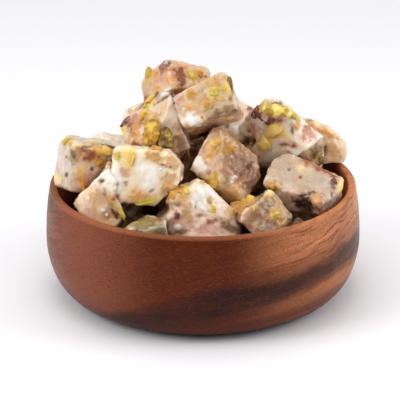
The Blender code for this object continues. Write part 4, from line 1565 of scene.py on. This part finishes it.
@dataclass
class NutPieces:
    """Every bit that stands proud of the gel, modelled once for each shape and copied to its place."""

    crumb_size: float = 1.3 * MM
    nut_thickness: float = 0.9
    flake_thickness: float = 0.7
    honey: Colour = dye(206, 170, 52)
    bruise: Colour = dye(150, 92, 40)
    templates: dict[str, bpy.types.Object] = field(default_factory=dict)

    def model(self) -> None:
        """Models the shapes that are copied: cut chunks, skin flakes, a crumb and a sticky bead."""
        for name, shape in BIT_SHAPES.items():
            self.templates[name] = self._ball(name, shape)

    @staticmethod
    def _ball(name: str, shape: BitShape) -> bpy.types.Object:
        """Models one shape.

        Args:
            name: its name.
            shape: its numbers.

        Returns:
            The ball, kept out of the scene.
        """
        bpy.ops.mesh.primitive_ico_sphere_add(subdivisions=shape.levels, radius=1.0)
        ball = bpy.context.object
        ball.name = name + "_shape"
        modify(ball, "DISPLACE", texture=clouds("bit_lumps", 0.7), strength=shape.lumps * 2, mid_level=0.5)
        for facing in shape.cuts:
            outward = Vector(facing)
            trim(ball, outward, outward.normalized())
        bpy.context.scene.collection.objects.unlink(ball)
        return ball

    def place(self, spots: list[Spot]) -> None:
        """Copies a shape to every spot that has a solid, and joins each kind into one piece.

        Args:
            spots: every bit in the heap.
        """
        kinds: dict[Bit, list[bpy.types.Object]] = {}
        rng = random.Random(SEED)
        for spot in spots:
            if LOOKS[spot.kind].solid is not None:
                kinds.setdefault(spot.kind, []).append(self._copy(spot, rng))
        flesh = NutFinish("pistachio_flesh", 0.42, 0.35).material()
        skin = NutFinish("pistachio_skin", 0.5, 0.5).material()
        gel = GelFinish("gel_beads", 1.2 * MM).material()
        for kind, copies in kinds.items():
            bpy.ops.object.select_all(action="DESELECT")
            for piece in copies:
                piece.select_set(True)
            bpy.context.view_layer.objects.active = copies[0]
            if len(copies) > 1:
                bpy.ops.object.join()
            piece = bpy.context.object
            piece.name = kind.name.lower() + "_bits"
            piece.data.name = piece.name
            only(piece)
            bpy.ops.object.shade_smooth_by_angle(angle=math.radians(38))
            piece.data.materials.clear()
            piece.data.materials.append(gel if kind is Bit.BEAD_AND_GLINT else skin if kind in SKINS else flesh)
            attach(piece, "root")
            LOG.info("%s: %d copies, %d faces", piece.name, len(copies), len(piece.data.polygons))

    def _copy(self, spot: Spot, rng: random.Random) -> bpy.types.Object:
        """Makes one bit from its shape.

        Args:
            spot: where it sits.
            rng: the heap's own dice.

        Returns:
            The bit, with its place in its mesh and its colours painted.
        """
        shape = self._shape_for(spot, rng)
        piece = bpy.data.objects.new("bit", self.templates[shape].data.copy())
        bpy.context.scene.collection.objects.link(piece)
        flaky = shape.startswith("flake")
        thick = min(spot.width, spot.height) * (self.flake_thickness if flaky else self.nut_thickness)
        frame = Matrix((spot.wide, spot.high, spot.out)).transposed()
        spin = Matrix.Rotation(rng.choice((0.0, math.pi)), 3, "Z")
        spin = spin @ Matrix.Rotation(rng.uniform(-0.25, 0.25), 3, "X")
        scale = Matrix.Diagonal((spot.width / 2, spot.height / 2, thick / 2))
        centre = spot.centre + spot.out * (thick * (LOOKS[spot.kind].solid - 0.5) * 0.9)
        places = points_of(piece)
        offset = (rng.uniform(0, 50), rng.uniform(0, 50), rng.uniform(0, 50))
        swell = 1.08 + ripples(places, 0.9, offset) * 0.5
        matrix = np.array(frame @ scale @ spin)
        move_points(piece, (places * swell[:, None]) @ matrix.T + np.array(centre))
        self._tint(piece, spot.kind, places, offset)
        return piece

    def _shape_for(self, spot: Spot, rng: random.Random) -> str:
        """Chooses the shape for a bit.

        Args:
            spot: the bit.
            rng: the heap's own dice.

        Returns:
            The shape's name.
        """
        if spot.kind is Bit.BEAD_AND_GLINT:
            return "bead_and_glint"
        if max(spot.width, spot.height) < self.crumb_size:
            return "crumb"
        return f"flake_{rng.randrange(2)}" if spot.kind in SKINS else f"chunk_{rng.randrange(3)}"

    def _tint(self, piece: bpy.types.Object, kind: Bit, places: np.ndarray, offset: Sequence[float]) -> None:
        """Paints one bit: its core, patches of its halo colour, a darker rim and bruises.

        Args:
            piece: the bit.
            kind: what it is.
            places: its vertices before they were moved, about 1 from the middle.
            offset: its own place in the noise.
        """
        look = LOOKS[kind]
        rim = ease(np.linalg.norm(places[:, :2], axis=1), 0.7, 1.05)
        tint = np.repeat(np.array([look.core]), len(places), axis=0)
        tint = blended(tint, look.halo, ease(ripples(places, 0.8, offset[::-1]), -0.1, 0.4) * 0.35)
        tint = blended(tint, look.halo, rim * 0.2)
        darker = tuple(c * 0.6 for c in look.core)
        darkening = rim * (0.2 if kind is Bit.PALE else 0.45)
        tint = blended(tint, darker, darkening * ease(ripples(places, 1.1, offset), 0.0, 0.3))
        if kind in (Bit.YELLOW, Bit.GREEN):
            tint = blended(tint, self.honey, ease(ripples(places, 1.3, (9, *offset[:2])), 0.1, 0.4) * 0.35)
        tint = blended(tint, self.bruise, ease(ripples(places, 0.7, (3, *offset[:2])), 0.15, 0.4) * 0.4)
        paint(piece, tint, np.full(len(places), look.wet))


@dataclass(frozen=True)
class KernelLook:
    """A big kernel's colours, how much it is swollen along each axis, and how high its lumps are."""

    flesh: Colour
    dark: Colour
    bright: Colour
    swelling: tuple[float, float, float]
    lumps: float


KERNELS: dict[str, KernelLook] = {
    "pistachio_olive": KernelLook(
        dye(206, 158, 30), dye(150, 100, 14), dye(240, 206, 84), (1.16, 1.16, 1.2), 1.7 * MM
    ),
    "pistachio_dark": KernelLook(
        dye(140, 102, 30), dye(86, 60, 20), dye(180, 148, 62), (1.16, 1.16, 1.2), 1.5 * MM
    ),
    "pistachio_top": KernelLook(
        dye(248, 220, 100), dye(160, 126, 30), dye(255, 240, 160), (1.16, 0.95, 0.74), 0.8 * MM
    ),
}


@dataclass
class Kernels:
    """The three big kernels that stand proud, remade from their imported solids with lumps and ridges."""

    nodes: dict[str, bpy.types.Object]
    voxel: float = 0.3 * MM
    lump_length: float = 2.4 * MM
    ridge_length: float = 0.9 * MM
    ridge_height: float = 0.35 * MM

    def build(self) -> None:
        """Remakes and paints each big kernel."""
        finish = NutFinish("kernel_flesh", 0.4, 0.35).material()
        lumps, ridges = clouds("kernel_lumps", self.lump_length), clouds("kernel_ridges", self.ridge_length)
        for name, look in KERNELS.items():
            kernel = copy_of(self.nodes[name], name + "_kernel")
            places = points_of(kernel)
            middle = (places.min(axis=0) + places.max(axis=0)) / 2
            move_points(kernel, middle + (places - middle) * look.swelling)
            modify(kernel, "REMESH", mode="VOXEL", voxel_size=self.voxel, use_smooth_shade=True)
            modify(kernel, "SMOOTH", factor=0.5, iterations=2)
            modify(kernel, "DISPLACE", texture=lumps, strength=look.lumps, mid_level=0.52)
            modify(kernel, "DISPLACE", texture=ridges, strength=self.ridge_height, mid_level=0.55)
            places = points_of(kernel)
            broad = ripples(places, 2.8 * MM)
            fine = ripples(places, 0.9 * MM, (4.4, 0, 0))
            tint = np.repeat(np.array([look.flesh]), len(places), axis=0)
            tint = blended(tint, look.dark, ease(broad + fine * 0.4, 0.02, 0.35) * 0.8)
            tint = blended(tint, look.bright, ease(-broad + fine * 0.4, 0.05, 0.4) * 0.8)
            paint(kernel, tint, np.full(len(places), 0.6))
            kernel.data.materials.append(finish)
            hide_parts(name)
            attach(kernel, "root")
            LOG.info("%s: %d faces", kernel.name, len(kernel.data.polygons))


@dataclass
class Filling:
    """Decides where every bit goes: from the listed marks where the heap faces the viewer, and by seeded dice
    elsewhere.
    """

    viewer: Viewer
    tree: BVHTree
    bits_for_a_cube: int = 34
    crumbs_for_a_cube: int = 12
    bit_widths_mm: tuple[float, float] = (1.8, 5.4)
    crumb_widths_mm: tuple[float, float] = (0.6, 1.2)
    flattest: float = 0.45
    kept_in_view: float = 0.5
    shrink_in_view: float = 0.6
    mark_size: float = 1.18 * MM
    mark_reach: float = 5 * MM
    dice_reach: float = 3 * MM
    turned_away: float = 0.35
    in_front: float = 2 * MM

    def by_hand(self) -> list[Spot]:
        """Drops every mark onto the gel along the viewer's line of sight.

        Returns:
            The marks that met the gel.
        """
        spots = []
        for kind, across, up, width, height, turn in ALL_MARKS:
            ray = self.viewer.toward(across, up)
            hit, _, _, _ = self.tree.ray_cast(self.viewer.eye, ray)
            if hit is None:
                LOG.warning("%s at %s, %s met no gel", kind.name, across, up)
                continue
            angle = math.radians(turn)
            right = self.viewer.across.copy()
            right = (right - ray * right.dot(ray)).normalized()
            top = right.cross(ray)
            wide = right * math.cos(angle) + top * math.sin(angle)
            high = top * math.cos(angle) - right * math.sin(angle)
            size = (width * self.mark_size, height * self.mark_size)
            spots.append(Spot(kind, hit, wide, high, -ray, *size, self.mark_reach))
        LOG.info("marks by hand: %d", len(spots))
        return spots

    def by_dice(self, cubes: dict[str, bpy.types.Object]) -> list[Spot]:
        """Scatters bits over the faces that the marks leave plain.

        Args:
            cubes: the shaped cubes.

        Returns:
            The scattered bits.
        """
        rng = random.Random(SEED)
        spots = []
        for name, cube in cubes.items():
            if name.startswith("cube_floor") or name in SUNKEN:
                continue
            polygons = cube.data.polygons
            for n in range(self.bits_for_a_cube + self.crumbs_for_a_cube):
                face = polygons[rng.randrange(len(polygons))]
                place, out = face.center.copy(), face.normal.copy()
                crumb = n >= self.bits_for_a_cube
                kind = rng.choice(CRUMBS if crumb else SCATTERED)
                width = rng.uniform(*(self.crumb_widths_mm if crumb else self.bit_widths_mm))
                height = width * rng.uniform(self.flattest, 1.0)
                turn = rng.uniform(0, math.pi)
                if self._seen(place, out):
                    if LOOKS[kind].solid is not None or kind in BOLD or rng.random() < 1 - self.kept_in_view:
                        continue
                    if kind is Bit.INK_AND_CREASE_SHADE and not crumb:
                        continue
                    width *= self.shrink_in_view
                wide = out.orthogonal().normalized()
                wide.rotate(Matrix.Rotation(turn, 3, out))
                size = (width * MM, height * MM)
                spots.append(Spot(kind, place, wide, out.cross(wide), out, *size, self.dice_reach))
        LOG.info("bits by dice: %d", len(spots))
        return spots

    def _seen(self, place: Vector, out: Vector) -> bool:
        """Tells whether the viewer sees a place on the gel.

        Args:
            place: the place.
            out: its normal.

        Returns:
            True if nothing is in front of it.
        """
        away = place + out * MM - self.viewer.eye
        if out.dot(away.normalized()) > self.turned_away:
            return False
        hit, _, _, _ = self.tree.ray_cast(self.viewer.eye, away.normalized())
        return hit is None or (hit - self.viewer.eye).length > away.length - self.in_front


def main() -> None:
    """Builds the bowl, the sweets and the nuts, lights them, and reports each piece."""
    logging.basicConfig(level=logging.INFO, format="%(name)s: %(message)s")
    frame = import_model()
    viewer = Viewer()
    Studio().build()
    WoodenBowl().build()
    heap = DelightHeap(viewer, frame["nodes"])
    heap.shape()
    filling = Filling(viewer, tree_over(list(heap.cubes.values())))
    spots = filling.by_hand() + filling.by_dice(heap.cubes)
    heap.colour(spots)
    nuts = NutPieces()
    nuts.model()
    nuts.place(spots)
    Kernels(frame["nodes"]).build()
    viewer.camera()


if __name__ == "__main__":
    main()
